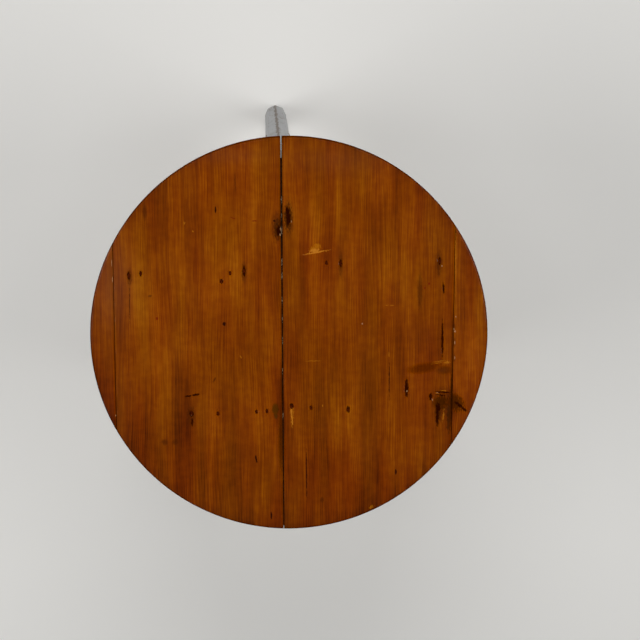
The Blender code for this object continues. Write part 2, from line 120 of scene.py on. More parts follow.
def unit(vector):
    """The same direction with a length of one."""
    return vector / np.linalg.norm(vector)


def turn_about_z(angle):
    """Rotation about the third axis, as a matrix of cosines and sines."""
    c, s = math.cos(angle), math.sin(angle)
    return np.array([[c, -s, 0], [s, c, 0], [0, 0, 1]])


def turn_between(start, end):
    """Smallest rotation from one unit vector to another: one, plus the skew, plus its scaled square."""
    axis = np.cross(start, end)
    skew = np.array([[0, -axis[2], axis[1]], [axis[2], 0, -axis[0]], [-axis[1], axis[0], 0]])
    return np.eye(3) + skew + skew @ skew / (1 + start @ end)


print(f"a pixel shows {CAMERA_DISTANCE / FOCAL_PIXELS / MM:.2f} mm of the top")

# %% Place the camera
LEAN_TO_REAR = math.radians(9.25)
LEAN_TO_LEFT = math.radians(0.79)
PICTURE_ROLL = math.radians(-2.43)
TOP_MIDDLE_PIXEL = (289.67, 335.77)


def axes_from(backwards, up):
    """Axes of a camera or a lamp as columns: right, up, and backwards from what it faces."""
    right = unit(np.cross(up, backwards))
    return np.column_stack([right, np.cross(backwards, right), backwards])


def stand(thing, axes, place):
    """Puts a camera or a lamp into the scene, turned by its axes."""
    pose = np.eye(4)
    pose[:3, :3] = axes
    pose[:3, 3] = place
    thing.matrix_world = Matrix(pose.tolist())
    bpy.context.scene.collection.objects.link(thing)


backwards = unit(np.array([-math.tan(LEAN_TO_LEFT), math.tan(LEAN_TO_REAR), 1.0]))
to_its_pixel = turn_between(unit(sight_line(TOP_MIDDLE_PIXEL)), np.array([0, 0, -1.0]))
camera_turn = axes_from(backwards, [0, 1, 0]) @ turn_about_z(PICTURE_ROLL) @ to_its_pixel
camera_place = AXIS + [0, 0, TOP_HEIGHT] + CAMERA_DISTANCE * backwards
camera = bpy.data.objects.new("camera", bpy.data.cameras.new("camera"))
camera.data.lens = LENS_MM
camera.data.sensor_width = SENSOR_MM
stand(camera, camera_turn, camera_place)
bpy.context.scene.camera = camera
print("camera at", camera_place.round(3))

# %% Carry a pixel on to the top
LEFT_RIM_PIXEL = (91, 335)


def on_top(pixel):
    """The point of the top's upper face that a pixel shows: its ray, followed down to the top's height."""
    ray = camera_turn @ sight_line(pixel)
    return camera_place + ray * (TOP_HEIGHT - camera_place[2]) / ray[2]


print("the left of the rim, found from its pixel, is at", on_top(LEFT_RIM_PIXEL).round(3))

# %% [markdown]
# ## Floor and light
# A pale floor and three big soft boxes stand for a plain studio. The boxes hang high, so that the varnish
# doesn't mirror them at someone who looks across the top. The world behind them is pale at the horizon,
# which lights the frame from all round, and dark overhead: varnish mirrors what is straight above it, and
# a dark ceiling keeps the wood's colour deep, where a white one would lay a grey veil over it. Near the
# table the floor takes light and shadow. Far out, where the boxes don't reach, it turns into a plain pale
# backdrop, for the eye and for the gloss.

# %% Tools for materials
SMOOTH = {"interpolation_type": "SMOOTHSTEP"}
PALE = "#f4f3f0"


def linear(hex_colour):
    """sRGB hex to the linear red, green, blue and alpha that a shader takes."""
    channels = [int(hex_colour[i : i + 2], 16) / 255 for i in (1, 3, 5)]
    return [((c + 0.055) / 1.055) ** 2.4 if c > 0.04045 else c / 12.92 for c in channels] + [1.0]


def fill(tree, made, inputs):
    """Sets each input that is given a value, and links each one that is given a socket."""
    for key, value in inputs.items():
        if isinstance(value, bpy.types.NodeSocket):
            tree.links.new(value, made.inputs[key])
        else:
            made.inputs[key].default_value = value


def node(tree, kind, inputs=None, **settings):
    """Adds one node with its settings and links."""
    made = tree.nodes.new("ShaderNode" + kind)
    for name, value in settings.items():
        setattr(made, name, value)
    fill(tree, made, inputs or {})
    return made


def start_material(name):
    """A new material with its node tree and its shader."""
    material = bpy.data.materials.new(name)
    material.use_nodes = True
    return material, material.node_tree, material.node_tree.nodes["Principled BSDF"]


print("the pale backdrop in linear light:", np.round(linear(PALE), 3))

# %% Lay the floor
FLOOR_REACH = 30.0
FLOOR_TINT = "#f0efec"
BACKDROP_START, BACKDROP_FULL = 1.1, 3.4
HORIZON_STRENGTH, CEILING_STRENGTH = 0.86, 0.02

floor_paint, tree, shader = start_material("pale_floor")
fill(tree, shader, {"Base Color": linear(FLOOR_TINT), "Roughness": 0.9})
place = node(tree, "TexCoord").outputs["Object"]
away = node(tree, "VectorMath", {0: place}, operation="LENGTH").outputs["Value"]
far = node(tree, "MapRange", {0: away, 1: BACKDROP_START, 2: BACKDROP_FULL}, **SMOOTH).outputs[0]
path = node(tree, "LightPath").outputs
seen = path["Is Camera Ray"]
for ray in ("Is Glossy Ray", "Is Transmission Ray"):
    seen = node(tree, "Math", {0: seen, 1: path[ray]}, operation="MAXIMUM").outputs[0]
share = node(tree, "Math", {0: seen, 1: far}, operation="MULTIPLY").outputs[0]
pale = node(tree, "Emission", {"Color": linear(PALE), "Strength": HORIZON_STRENGTH}).outputs[0]
blend = node(tree, "MixShader", {0: share, 1: shader.outputs[0], 2: pale}).outputs[0]
fill(tree, tree.nodes["Material Output"], {"Surface": blend})

floor_mesh = bpy.data.meshes.new("floor")
corners = np.array([(-1, -1, 0), (1, -1, 0), (1, 1, 0), (-1, 1, 0)]) * FLOOR_REACH
floor_mesh.from_pydata(corners.tolist(), [], [(0, 1, 2, 3)])
floor_mesh.materials.append(floor_paint)
floor = bpy.data.objects.new("floor", floor_mesh)
bpy.context.scene.collection.objects.link(floor)
floor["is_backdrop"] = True
print(f"floor: {2 * FLOOR_REACH:.0f} m across")

# %% Hang the lights
SKY_LOW, SKY_HIGH = 0.2, 0.75  # where the dimming starts and ends, as shares of straight up
BOX_SIDE = 1.7
BOX_AIM = np.array([0, 0, 0.45])
# Each soft box: its place in metres and its power in watts
SOFT_BOXES = {
    "right_box": ((2.03, -0.3, 2.86), 31.5),
    "left_box": ((-2.03, -0.3, 2.86), 35.5),
    "rear_box": ((0.0, 2.05, 2.86), 33.0),
}

world = bpy.data.worlds.new("studio")
bpy.context.scene.world = world
world.use_nodes = True
sky = world.node_tree
height = node(sky, "SeparateXYZ", {0: node(sky, "TexCoord").outputs["Generated"]}).outputs["Z"]
limits = {0: height, 1: SKY_LOW, 2: SKY_HIGH, 3: HORIZON_STRENGTH, 4: CEILING_STRENGTH}
dimming = node(sky, "MapRange", limits, **SMOOTH).outputs[0]
fill(sky, sky.nodes["Background"], {"Color": linear(PALE), "Strength": dimming})

for name, (place, power) in SOFT_BOXES.items():
    lamp = bpy.data.lights.new(name, "AREA")
    lamp.size = BOX_SIDE
    lamp.energy = power
    away_from_table = unit(np.array(place) - BOX_AIM)
    stand(bpy.data.objects.new(name, lamp), axes_from(away_from_table, [0, 0, 1]), place)
bpy.context.scene.view_settings.view_transform = "Standard"
print("soft boxes:", ", ".join(SOFT_BOXES))

# %% [markdown]
# ## Two tools for every piece
# Old timber is never quite flat or straight. A sum of a few slow waves, with directions and phases from a
# seeded generator, gives a calm unevenness that is the same on each run. The other tool turns a grid of
# points into a closed piece, hands it over to the table's body, and names the solid that it stands for.

# %% Waves and grids
WAVES = 12
WAVE_STRETCH = 0.6, 1.4  # shortest and longest wave, as shares of the size asked for
WAVE_SUM = 5  # brings the sum of the waves to about one


def ripple(first, second, first_size, second_size, seed):
    """Smooth noise from -1 to 1: a dozen plane waves about one size long, averaged."""
    source = np.random.default_rng(seed)
    angle, phase = source.uniform(0, 2 * np.pi, (2, WAVES))
    stretch = source.uniform(*WAVE_STRETCH, WAVES)
    waves = np.multiply.outer(first, np.cos(angle) * stretch * 2 * np.pi / first_size)
    waves = waves + np.multiply.outer(second, np.sin(angle) * stretch * 2 * np.pi / second_size)
    return np.clip(np.cos(waves + phase).sum(-1) / WAVE_SUM, -1, 1)


def grid_faces(rows, columns, wrap=False):
    """Quads between neighbours on a grid counted row by row. With wrap, each row closes on itself."""
    index = np.arange(rows * columns).reshape(rows, columns)
    if wrap:
        index = np.hstack([index, index[:, :1]])
    quads = np.stack([index[:-1, :-1], index[:-1, 1:], index[1:, 1:], index[1:, :-1]], axis=-1)
    return quads.reshape(-1, 4)


def bar_faces(stations, around):
    """Quads of a bar between its stations, and a face over each end."""
    last = (stations - 1) * around
    ends = [list(range(around))[::-1], list(range(last, last + around))]
    return grid_faces(stations, around, wrap=True).tolist() + ends


print("waves in a ripple:", WAVES)

# %% Close a piece and hand it over
MERGE_WITHIN = 1e-6
SHARP_ANGLE = math.radians(50)


def make_piece(name, points, faces, fields, materials, finish=None):
    """A closed mesh piece, in place of the solid of that name if there is one.

    Fields are values at each point. A slab has a finish, the number of each face's material, and its last
    face is a flat underside.
    """
    mesh = bpy.data.meshes.new(name)
    mesh.from_pydata(points.reshape(-1, 3).tolist(), [], faces)
    for field, values in fields.items():
        vector = values.ndim > 1 and values.shape[-1] == 3
        layer = mesh.attributes.new(field, "FLOAT_VECTOR" if vector else "FLOAT", "POINT")
        layer.data.foreach_set("vector" if vector else "value", values.astype(np.float32).ravel())
    mesh.shade_smooth()
    if finish is not None:
        mesh.polygons[len(faces) - 1].use_smooth = False
        mesh.polygons.foreach_set("material_index", finish)
    shape = bmesh.new()
    shape.from_mesh(mesh)
    bmesh.ops.remove_doubles(shape, verts=shape.verts, dist=MERGE_WITHIN)
    if shape.calc_volume(signed=True) < 0:
        bmesh.ops.reverse_faces(shape, faces=shape.faces)
    open_edges = sum(not edge.is_manifold for edge in shape.edges)
    shape.to_mesh(mesh)
    shape.free()
    mesh.set_sharp_from_angle(angle=SHARP_ANGLE)
    for material in materials:
        mesh.materials.append(material)
    piece = bpy.data.objects.new(f"{name}_worn", mesh)
    bpy.context.scene.collection.objects.link(piece)
    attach(piece, "root")
    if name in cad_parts:
        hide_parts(name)
    triangles = len(mesh.loops) - 2 * len(mesh.polygons)
    print(f"{piece.name}: {triangles} triangles, {open_edges} open edges")
    return piece


# %% [markdown]
# ## The marks on the top
# The top tells its age in small things: punched nail holes with rusty iron at the bottom, cracks, chips
# down to bare wood, a filled hole, knots, a burn, pale crumbs. A few marks are painted light instead:
# glints on two nail heads, and the highlight and shade of a ridge. Each mark is an oval with a place, a
# width, a length along the grain and a turn. The place is the pixel where it shows, carried back on to
# the wood. The same list shapes the dents in the mesh and the stains in the varnish, so that colour and
# form agree.

# %% List the marks
# at: pixel. wide and long: mm across and along the grain. turn: degrees. deep: mm.
Mark = namedtuple("Mark", "at wide long turn deep", defaults=(0, 0.0))
MARKS = {
    "hole": {
        "batten_1": Mark((128.8, 276), 4.5, 13, 0, 0.5),
        "batten_2": Mark((140.6, 273.8), 4, 7, 0, 0.5),
        "batten_3": Mark((221.4, 281.4), 5, 7, 0, 0.5),
        "batten_4": Mark((230.2, 273.4), 3, 5, 0, 0.3),
        "batten_5": Mark((244, 271.4), 5, 15, 0, 0.6),
        "batten_6": Mark((326.5, 262.8), 4, 6, 10, 0.5),
        "batten_7": Mark((340.8, 263.4), 4, 12, 0, 0.6),
        "batten_8": Mark((439.6, 261), 4, 11, 0, 0.5),
        "rail_1": Mark((191.4, 413.8), 6, 9, 0, 0.6),
        "rail_1_tail": Mark((192.2, 422.5), 3, 12, 0, 0.2),
        "rail_2": Mark((218, 413.9), 4.5, 6, 0, 0.5),
        "rail_3": Mark((256.5, 412), 3.5, 4.5, 0, 0.4),
        "rail_4": Mark((267, 411.4), 3.5, 9, 0, 0.5),
        "rail_5": Mark((291.6, 405.6), 6, 7, 0, 0.8),
        "rail_7": Mark((348.3, 409.4), 5, 11, 0, 0.4),
        "worm_1": Mark((215.5, 210), 2.5, 9),
        "worm_2": Mark((224.3, 324), 5, 6),
        "crack_right": Mark((442.5, 339.5), 3.2, 53, 0, 0.8),
        "crack_right_rear": Mark((443.6, 288), 3, 17, 4, 0.5),
        "slot": Mark((406.6, 388), 5.5, 28, 0, 1.0),
        "dash": Mark((188.2, 396.2), 2.8, 10, 98, 0.2),
        "dash_right": Mark((195.8, 394.8), 3.2, 11, 98, 0.2),
        "crack_fine": Mark((389.2, 380), 1.2, 56),
        "crack_left": Mark((129.4, 302), 0.9, 62),
        "dash_front": Mark((395.8, 471.8), 2.5, 9),
        "streak_front": Mark((271.3, 515.6), 3, 11),
        "ticks": Mark((256.2, 458.8), 2.5, 13, 10),
        "seam_dark": Mark((306.6, 475), 1.4, 76),
        "knot_right": Mark((288.2, 218), 6.5, 22, 0, 0.5),
        "knot_right_rear": Mark((287.2, 211), 5, 14, 0, 0.3),
        "knot_left": Mark((278.5, 231), 6, 15, 0, 0.4),
        "knot_left_eye": Mark((274.4, 220.8), 3, 4),
        "burn_spot": Mark((430.6, 396.5), 5, 11, 0, 0.3),
        "burn_top": Mark((443, 392.2), 2.2, 24, 86, 0.3),
        "burn_top_low": Mark((440.5, 395), 1.8, 14, 78, 0.2),
        "burn_tail_left": Mark((438, 408), 7, 16, 0, 0.5),
        "burn_tail_left_end": Mark((437.3, 417), 3.8, 30, 0, 0.4),
        "burn_arm": Mark((459.4, 405.4), 5, 20, 52, 0.4),
        "burn_arm_end": Mark((464.3, 409.4), 4, 9, 50, 0.3),
    },
    "scorch": {
        "heart": Mark((440.5, 402.5), 22, 20, 0, 0.2),
        "wedge": Mark((456.4, 403), 20, 30, 40, 0.3),
        "joint": Mark((451.6, 388), 4, 44),
        "tail_left": Mark((438, 412), 9, 36),
        "tail_right": Mark((448.8, 417), 7, 52),
        "knot_right": Mark((288, 217.5), 12, 36),
        "knot_left": Mark((277.8, 229), 11, 28),
    },
    "stain": {
        "batten_1": Mark((129.5, 277), 9, 26),
        "batten_5": Mark((244, 272), 9, 34),
        "batten_7": Mark((340.8, 264), 7, 40),
        "batten_8": Mark((439, 263), 10, 40),
        "rail_1": Mark((191, 416), 14, 34),
        "smudge_1": Mark((164.7, 442.3), 10, 10),
        "smudge_2": Mark((175.2, 442), 10, 10),
        "gap_front": Mark((281.4, 445), 8, 92, 0, 0.5),
        "gap_middle": Mark((281.5, 385), 4, 70),
        "knot_left": Mark((277, 227), 18, 46),
        "knot_right": Mark((289, 219), 14, 60),
        "right_joint": Mark((452.2, 350), 5, 130),
        "crumbs_rear": Mark((453.8, 327), 6, 12),
        "crumbs_middle": Mark((454, 342), 5.5, 16),
        "crumbs_front": Mark((453.8, 358), 5.5, 12),
        # Painted shade of the ridge: dark bands at its end and beside it
        "ridge_end_shade": Mark((444.5, 370), 14, 26, 90, 0.2),
        "ridge_shade": Mark((424, 368), 15, 50, 98, 0.3),
        "burn": Mark((447, 404), 42, 52),
        "rail_6": Mark((311.2, 407.8), 6, 9),
        "speckled": Mark((214.4, 379.7), 3, 10, -30),
        "rim_patch": Mark((144.6, 212), 7, 26),
        "front_spot": Mark((322, 500), 7, 9),
        "crease": Mark((150, 296), 6, 4, 20),
        "seam_rear": Mark((235, 183), 2, 30),
        "flaw_right": Mark((420, 292), 8, 60),
    },
    "chip": {
        "wedge_base": Mark((316.4, 252.4), 2.4, 37, 100, 0.3),
        "wedge_low": Mark((314.6, 250.6), 16, 5, 8, 0.2),
        "strip_edge": Mark((291.3, 413.5), 1.6, 20, 0, 0.4),
        "strip_end": Mark((292.6, 421.5), 1.4, 14, 0, 0.3),
    },
    "scrape": {
        "wedge_middle": Mark((315.4, 248.6), 16, 8, 8, 0.2),
        "wedge_rear": Mark((317.2, 245.8), 10, 7, 0, 0.1),
        "strip_top": Mark((292, 410.8), 7, 9),
        "strip_tail": Mark((292.2, 418.5), 4, 27),
        "rim": Mark((371.5, 507), 4, 8, -60, 0.3),
        "ring": Mark((322.6, 405.6), 2, 3),
        "burn": Mark((443.4, 416), 2.2, 18, -6),
        "burn_edge": Mark((437.5, 393.8), 1.6, 9, 70),
        "burn_rear": Mark((443.6, 390.6), 1.2, 11, 88),
        "ridge": Mark((447, 362.4), 4, 9, 96),
        # Painted highlights: thin pale lines along the ridge
        "ridge_highlight_1": Mark((439.5, 361.2), 1.2, 22, 98),
        "ridge_highlight_2": Mark((437, 363.2), 1.0, 16, 98),
        "scratch": Mark((313, 361), 1.2, 20, 91),
        "dash_1": Mark((386.6, 305.3), 1.4, 5, 90),
        "dash_2": Mark((392, 305.5), 1.2, 6, 92),
        "dot_3": Mark((184.4, 223.2), 2.6, 4),
        "dot_4": Mark((192.8, 231.5), 2.4, 2.6),
        "curl": Mark((240.8, 357), 2, 5, 30),
        "crack_side": Mark((389, 353.8), 1.4, 9),
        "joint_side": Mark((455.6, 258), 1.3, 90),
    },
    "putty": {
        "plug": Mark((275.3, 409.2), 11, 19, 0, 0.1),
        "tail": Mark((275.8, 416), 6, 10),
    },
    "speck": {
        "dot_1": Mark((362.4, 323.8), 2.6, 3),
        "dot_5": Mark((442, 266), 2, 2.4),
        "slot": Mark((407, 391.2), 2.4, 3),
        "joint_1": Mark((455.8, 316.8), 1.8, 2.4),
        "joint_2": Mark((455.1, 331.3), 3.2, 3.4),
        "joint_2_rear": Mark((453.8, 329), 2.2, 3.2),
        "joint_3": Mark((454.8, 342.8), 1.6, 6),
        "joint_4": Mark((454.6, 357.6), 1.8, 5),
        "left_joint_1": Mark((112.4, 279.5), 1.1, 9),
        "left_joint_2": Mark((111.6, 263), 0.9, 10),
        "left_joint_3": Mark((115.8, 415.6), 1.6, 3),
        "knot_1": Mark((280.6, 229), 1.8, 6),
        "knot_2": Mark((280.2, 234.6), 2, 4),
        "knot_3": Mark((291.4, 221.5), 1.2, 4),
        "burn_1": Mark((432.4, 399.6), 1.5, 4, 20),
        "burn_2": Mark((437.2, 392.8), 1.2, 4, 60),
        # Painted glints: pale specks on two nail heads, where the iron catches the light
        "nail_1_painted_glint": Mark((191.6, 415), 1.8, 2.4),
        "nail_7_painted_glint": Mark((340.8, 264.2), 1.4, 2.4),
    },
    "rub": {
        "curve": Mark((232.6, 218), 1.4, 9, 70),
        "dash": Mark((254.6, 220.9), 2, 9, 90),
        "worm_3": Mark((156.9, 318.6), 4, 5),
        "red_1": Mark((429.2, 283.7), 3.4, 4),
        "red_2": Mark((424.9, 288), 2.6, 3),
    },
}
print("marks:", {kind: len(group) for kind, group in MARKS.items()})

# %% [markdown]
# ## The four boards
# Each board is a slab cut from one disc. Its upper face is a height field over a grid of columns across
# the grain and rows along it: flat wood, minus a quarter round at the rim, a rubbed arris at each joint,
# a slight hollow from shrinking, and the dents of the list above. The last rows before the rim follow the
# quarter round, so that it stays smooth. Walls go down from the edge of that grid to a plain underside. A
# flat bevelled disc would be quicker, but its joints and dents would then be only painted on.

# %% Measure the joints
BESIDE_AXIS = 10 * MM  # points this near the axis are left out, so that the two ends lie well apart


def joint_edge(name, side):
    """Straight edge of a board, as x at the axis and its slope: a line through two points, one in front of
    the axis and one behind it, each the furthest out on that side."""
    points = node_points(name) - AXIS
    way = 1 if side == "right" else -1
    halves = points[points[:, 1] < -BESIDE_AXIS], points[points[:, 1] > BESIDE_AXIS]
    front, rear = (half[np.argmax(way * half[:, 0])] for half in halves)
    slope = (rear[0] - front[0]) / (rear[1] - front[1])
    return front[0] - slope * front[1], slope


left_strip_edge = joint_edge("top_left_strip", "right")
left_board_edges = joint_edge("top_left_board", "left"), joint_edge("top_left_board", "right")
right_board_edges = joint_edge("top_right_board", "left"), joint_edge("top_right_board", "right")
right_strip_edge = joint_edge("top_right_strip", "left")
GRAIN_TURN = -math.atan(left_strip_edge[1])
print(f"the boards lie {math.degrees(GRAIN_TURN):.1f} degrees from the line to the rear leg")

# %% Work out dents and pits
BROAD_MARK = 4.5  # mm: the boards' points carry marks from this size on, the varnish draws the finer ones
FAR_OFF = 2.0  # half sizes from a mark at which nothing of it is left
DENT_END, PIT_END = 1.3, 1.4  # half sizes from the middle at which a bowl ends
PIT_DEPTH = 1.5 * MM
PIT_MARGIN = np.array([0.4, 0.6]) * MM  # wood that the punch broke away beside and along a nail head
TOP_NAILS = [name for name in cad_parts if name.startswith(("rail_nail", "batten_nail"))]


def mark_axes(mark):
    """A mark's directions across it and along it, each divided by its half size that way."""
    turn = math.radians(mark.turn) + GRAIN_TURN
    across = np.array([math.cos(turn), math.sin(turn), 0]) / (mark.wide * MM / 2)
    along = np.array([-math.sin(turn), math.cos(turn), 0]) / (mark.long * MM / 2)
    return across, along


def mark_oval(mark, x, y):
    """Distance from the mark's middle in half sizes: 1 on the oval's outline."""
    place = on_top(mark.at)
    x, y = x - place[0], y - place[1]
    across, along = (axis[0] * x + axis[1] * y for axis in mark_axes(mark))
    return np.hypot(across, along)


def is_broad(mark):
    """True for a mark that several points of the grid fall into."""
    return min(mark.wide, mark.long) >= BROAD_MARK


def broad_reach(group, x, y):
    """Distance, in half sizes, from the nearest of the broad marks of one kind, up to far off."""
    ovals = [mark_oval(mark, x, y) for mark in group if is_broad(mark)]
    return np.minimum.reduce([np.full_like(x, FAR_OFF)] + ovals)


def bowl(distance, end):
    """A smooth bowl, as a share of its depth: three squares of the way in, less two cubes."""
    way_in = np.clip(end - distance, 0, 1)
    return way_in * way_in * (3 - 2 * way_in)


def dents(x, y):
    """Depth of all marks together: each one a smooth bowl that ends just past its outline."""
    depth = np.zeros_like(x)
    for group in MARKS.values():
        for mark in group.values():
            depth = np.maximum(depth, mark.deep * MM * bowl(mark_oval(mark, x, y), DENT_END))
    return depth


def nail_pits(x, y, nails):
    """Depth of the punched pits: a bowl over each nail head, which leaves the iron bare at its bottom."""
    depth = np.zeros_like(x)
    for name in nails:
        low, high = (np.array(corner[:2]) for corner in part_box(name))
        middle, half = (low + high) / 2, (high - low) / 2 + PIT_MARGIN
        oval = np.hypot((x - middle[0]) / half[0], (y - middle[1]) / half[1])
        depth = np.maximum(depth, PIT_DEPTH * bowl(oval, PIT_END))
    return depth


print("nails in the top:", len(TOP_NAILS))

# %% Lay out a board
RIM_ROUND = 3.0 * MM
COLUMN_STEP = 1.6 * MM
ROW_STEP = 1.9 * MM
STRIP_COLUMNS = 44
STRIP_END = math.radians(1.5)  # how far round the rim a strip's outermost column stays from the tip
rim_angles = np.linspace(0, np.pi / 2, 8)
rim_steps = RIM_ROUND * (1 - np.cos(rim_angles))
ease_steps = np.array([0.0, 0.12, 0.3, 0.55, 0.9]) * MM


def rim_rows(column, slope, way):
    """y of the rim rows of each column, from the rim inwards: where the column meets circles that shrink
    by the steps of the quarter round."""
    radius = TOP_RADIUS - rim_steps[None, :]
    y = np.sqrt(np.clip(radius**2 - column**2, 0, None))
    x = column + way * slope * y
    return way * np.sqrt(np.clip(radius**2 - x**2, 0, None))


def board_plan(left, right):
    """Grid of x and y over one board, seen from the axis. An edge is None where the rim itself bounds it.

    Columns stand evenly on a wide board. On a strip they stand at even angles round the rim. At a joint
    they crowd together, and their slopes change evenly from one edge's to the other's.
    """
    outer = TOP_RADIUS * math.cos(STRIP_END)
    start = left[0] if left else -outer
    end = right[0] if right else outer
    if left and right:
        column = np.linspace(start, end, int((end - start) / COLUMN_STEP))
    else:
        sweep = np.arccos(np.array([start, end]) / TOP_RADIUS)
        column = TOP_RADIUS * np.cos(np.linspace(*sweep, STRIP_COLUMNS))
    if left:
        column = np.concatenate([start + ease_steps, column[column > start + 2 * ease_steps[-1]]])
    if right:
        column = np.concatenate([column[column < end - 2 * ease_steps[-1]], end - ease_steps[::-1]])
    share = (column - start) / (end - start)
    slope = (1 - share) * (left[1] if left else 0) + share * (right[1] if right else 0)
    column, slope = column[:, None], slope[:, None]
    front, rear = rim_rows(column, slope, -1), rim_rows(column, slope, 1)
    inner = np.linspace(0, 1, int(2 * np.abs(front).max() / ROW_STEP))[None, 1:-1]
    middle = front[:, -1:] + (rear[:, -1:] - front[:, -1:]) * inner
    y = np.hstack([front, middle, rear[:, ::-1]])
    return column + slope * y, y


print("rows in the quarter round:", len(rim_steps))

# %% Raise its face
JOINT_EASE = 0.7 * MM
JOINT_WAVE = 50 * MM, 30 * MM  # how long the changes in a joint's rubbed arris are, across and along
HOLLOW = 0.25 * MM  # how far a board's face has sunk between its edges
UNEVEN = 0.08 * MM
UNEVEN_WAVE = 90 * MM, 250 * MM


def round_over(distance, radius):
    """How far a quarter round of this radius has dropped at a distance in from its edge."""
    inside = np.clip(radius - distance, 0, radius)
    return radius - np.sqrt(radius**2 - inside**2)


def board_heights(x, y, left, right, seed):
    """Height of the upper face: the top's height less rounds, hollow, unevenness and dents."""
    drop = round_over(TOP_RADIUS - np.hypot(x, y), RIM_ROUND)
    rubbed = JOINT_EASE * (1.0 + 0.5 * ripple(x, y, *JOINT_WAVE, seed))
    for edge, way in ((left, 1), (right, -1)):
        if edge:
            drop = np.maximum(drop, round_over(way * (x - edge[0] - edge[1] * y), rubbed))
    bow = 1 - ((x - x.min()) / np.ptp(x) * 2 - 1) ** 2
    drop = drop + HOLLOW * bow + UNEVEN * (1 + ripple(x, y, *UNEVEN_WAVE, seed + 1))
    x, y = x + AXIS[0], y + AXIS[1]
    return TOP_HEIGHT - drop - np.maximum(dents(x, y), nail_pits(x, y, TOP_NAILS))


print(f"a board's face sinks {HOLLOW / MM} mm between its edges")

# %% Close a slab
UNDER_ROUND = 2.0 * MM


def loop_round(grid):
    """The outline of a grid, once round, anticlockwise seen from above."""
    return np.concatenate([grid[:, 0], grid[-1, 1:], grid[-2::-1, -1], grid[0, -2:0:-1]])


def slab_shell(x, y, upper, underside, under_round):
    """Closes a height field into a slab: a wall down from its outline, a small bevel, a flat underside.

    The wall has one ring of points half way down, so that a field can differ there from both edges.
    Returns the points, the faces, and each face's finish: 0 on the face and the wall, 1 underneath.
    """
    outline = loop_round(np.arange(x.size).reshape(x.shape))
    count = len(outline)
    foot = np.stack([loop_round(x), loop_round(y), np.full(count, underside + under_round)], axis=-1)
    waist = foot.copy()
    waist[:, 2] = (loop_round(upper) + underside) / 2
    inward = [x.mean(), y.mean()] - foot[:, :2]
    sole = foot.copy()
    sole[:, :2] += inward / np.linalg.norm(inward, axis=1, keepdims=True) * under_round
    sole[:, 2] = underside
    points = np.vstack([np.stack([x, y, upper], axis=-1).reshape(-1, 3), waist, foot, sole])
    after = np.roll(np.arange(count), -1)
    loops = [outline] + [x.size + ring * count + np.arange(count) for ring in range(3)]
    quads = [grid_faces(*x.shape)[:, ::-1]]
    for loop, below in zip(loops, loops[1:]):
        quads.append(np.stack([loop, below, below[after], loop[after]], axis=-1))
    faces = np.vstack(quads).tolist() + [loops[-1][::-1].tolist()]
    finish = np.zeros(len(faces), np.int32)
    finish[-count - 1 :] = 1
    return points, faces, finish


print(f"the boards' lower edges are bevelled by {UNDER_ROUND / MM} mm")

# %% [markdown]
# ## Grain that flows
# Softwood shows its yearly rings as long dark and light lines. On these boards they run straight, wander
# a little and swing out round the knots. Each point of a board therefore carries a small sideways drift,
# which the varnish adds to its place before it draws any line. The boards also carry a tone: some parts
# have faded golden, the front is darker, the rim darker still with painted shade, and the left edge and
# the rear rim carry a painted greyish sheen.

# %% List the zones
# Soft zones: pixel of the middle, half width and half length in mm, strength
GOLDEN = {
    "left_band": ((150, 300), 26, 190, 1.0),
    "left_front": ((160, 390), 20, 70, 0.3),
    "right_strip": ((470, 320), 18, 150, 0.7),
    "rear": ((255, 165), 60, 60, 0.35),
    "rear_left": ((238, 215), 60, 58, 1.0),
    "rear_right": ((330, 208), 56, 46, 1.1),
    "by_gap": ((284, 288), 15, 50, 1.3),
    "left_of_gap": ((258, 250), 26, 34, 0.7),
    "right": ((428, 295), 26, 60, 1.2),
    "right_joint": ((458, 285), 20, 40, 0.6),
    "middle_left": ((235, 370), 46, 36, 0.6),
    "middle_right": ((312, 352), 30, 36, 0.5),
    "front_left": ((200, 448), 46, 36, 0.45),
    "front": ((265, 470), 22, 70, 0.6),
}
DARKER = {
    "gap": ((283, 425), 14, 110, 0.5),
    "gap_rear": ((284, 178), 15, 45, 0.35),
    "rear_right_rim": ((428, 206), 26, 32, 0.4),
    "left_front_rim": ((140, 428), 24, 60, 0.55),
    "right_of_gap": ((300, 370), 22, 110, 0.5),
    "middle_right": ((395, 335), 40, 40, 0.15),
    "left_front_band": ((182, 430), 16, 90, 0.7),
    "left_of_gap": ((240, 450), 14, 80, 0.5),
    "left_rim": ((100, 400), 30, 80, 0.6),
    "ridge": ((425, 340), 24, 40, 0.7),
}
# Painted sheen: a greyish-mauve reflection laid into the colour at the left edge, the rear rim and the
# ridge
PAINTED_SHEEN = {
    "left": ((112, 285), 30, 62, 1.0),
    "rear_rim": ((225, 155), 60, 14, 0.5),
    "rear_right": ((340, 160), 70, 22, 0.5),
    "ridge": ((443, 370.5), 9, 4, 1.0),
}
GRIME = {
    "gap_front": ((280.2, 430), 3.4, 70, 0.42),
    "gap_knots": ((281.5, 222), 2.4, 40, 0.4),
    "right_joint": ((451.6, 402), 1.6, 56, 0.5),
}


def by_grain(x, y):
    """Offsets turned into the boards' own directions: across the grain and along it."""
    c, s = math.cos(GRAIN_TURN), math.sin(GRAIN_TURN)
    return c * x + s * y, c * y - s * x


def from_pixel(pixel, x, y):
    """Offsets, across the grain and along it, from the point of the top that a pixel shows."""
    place = on_top(pixel)
    return by_grain(x - place[0], y - place[1])


def zone_sum(zones, x, y):
    """Sum of soft zones: each falls off from its middle as a bell curve."""
    total = np.zeros_like(x)
    for pixel, half_wide, half_long, strength in zones.values():
        across, along = from_pixel(pixel, x, y)
        total += strength * np.exp(-((across / (half_wide * MM)) ** 2) - (along / (half_long * MM)) ** 2)
    return total


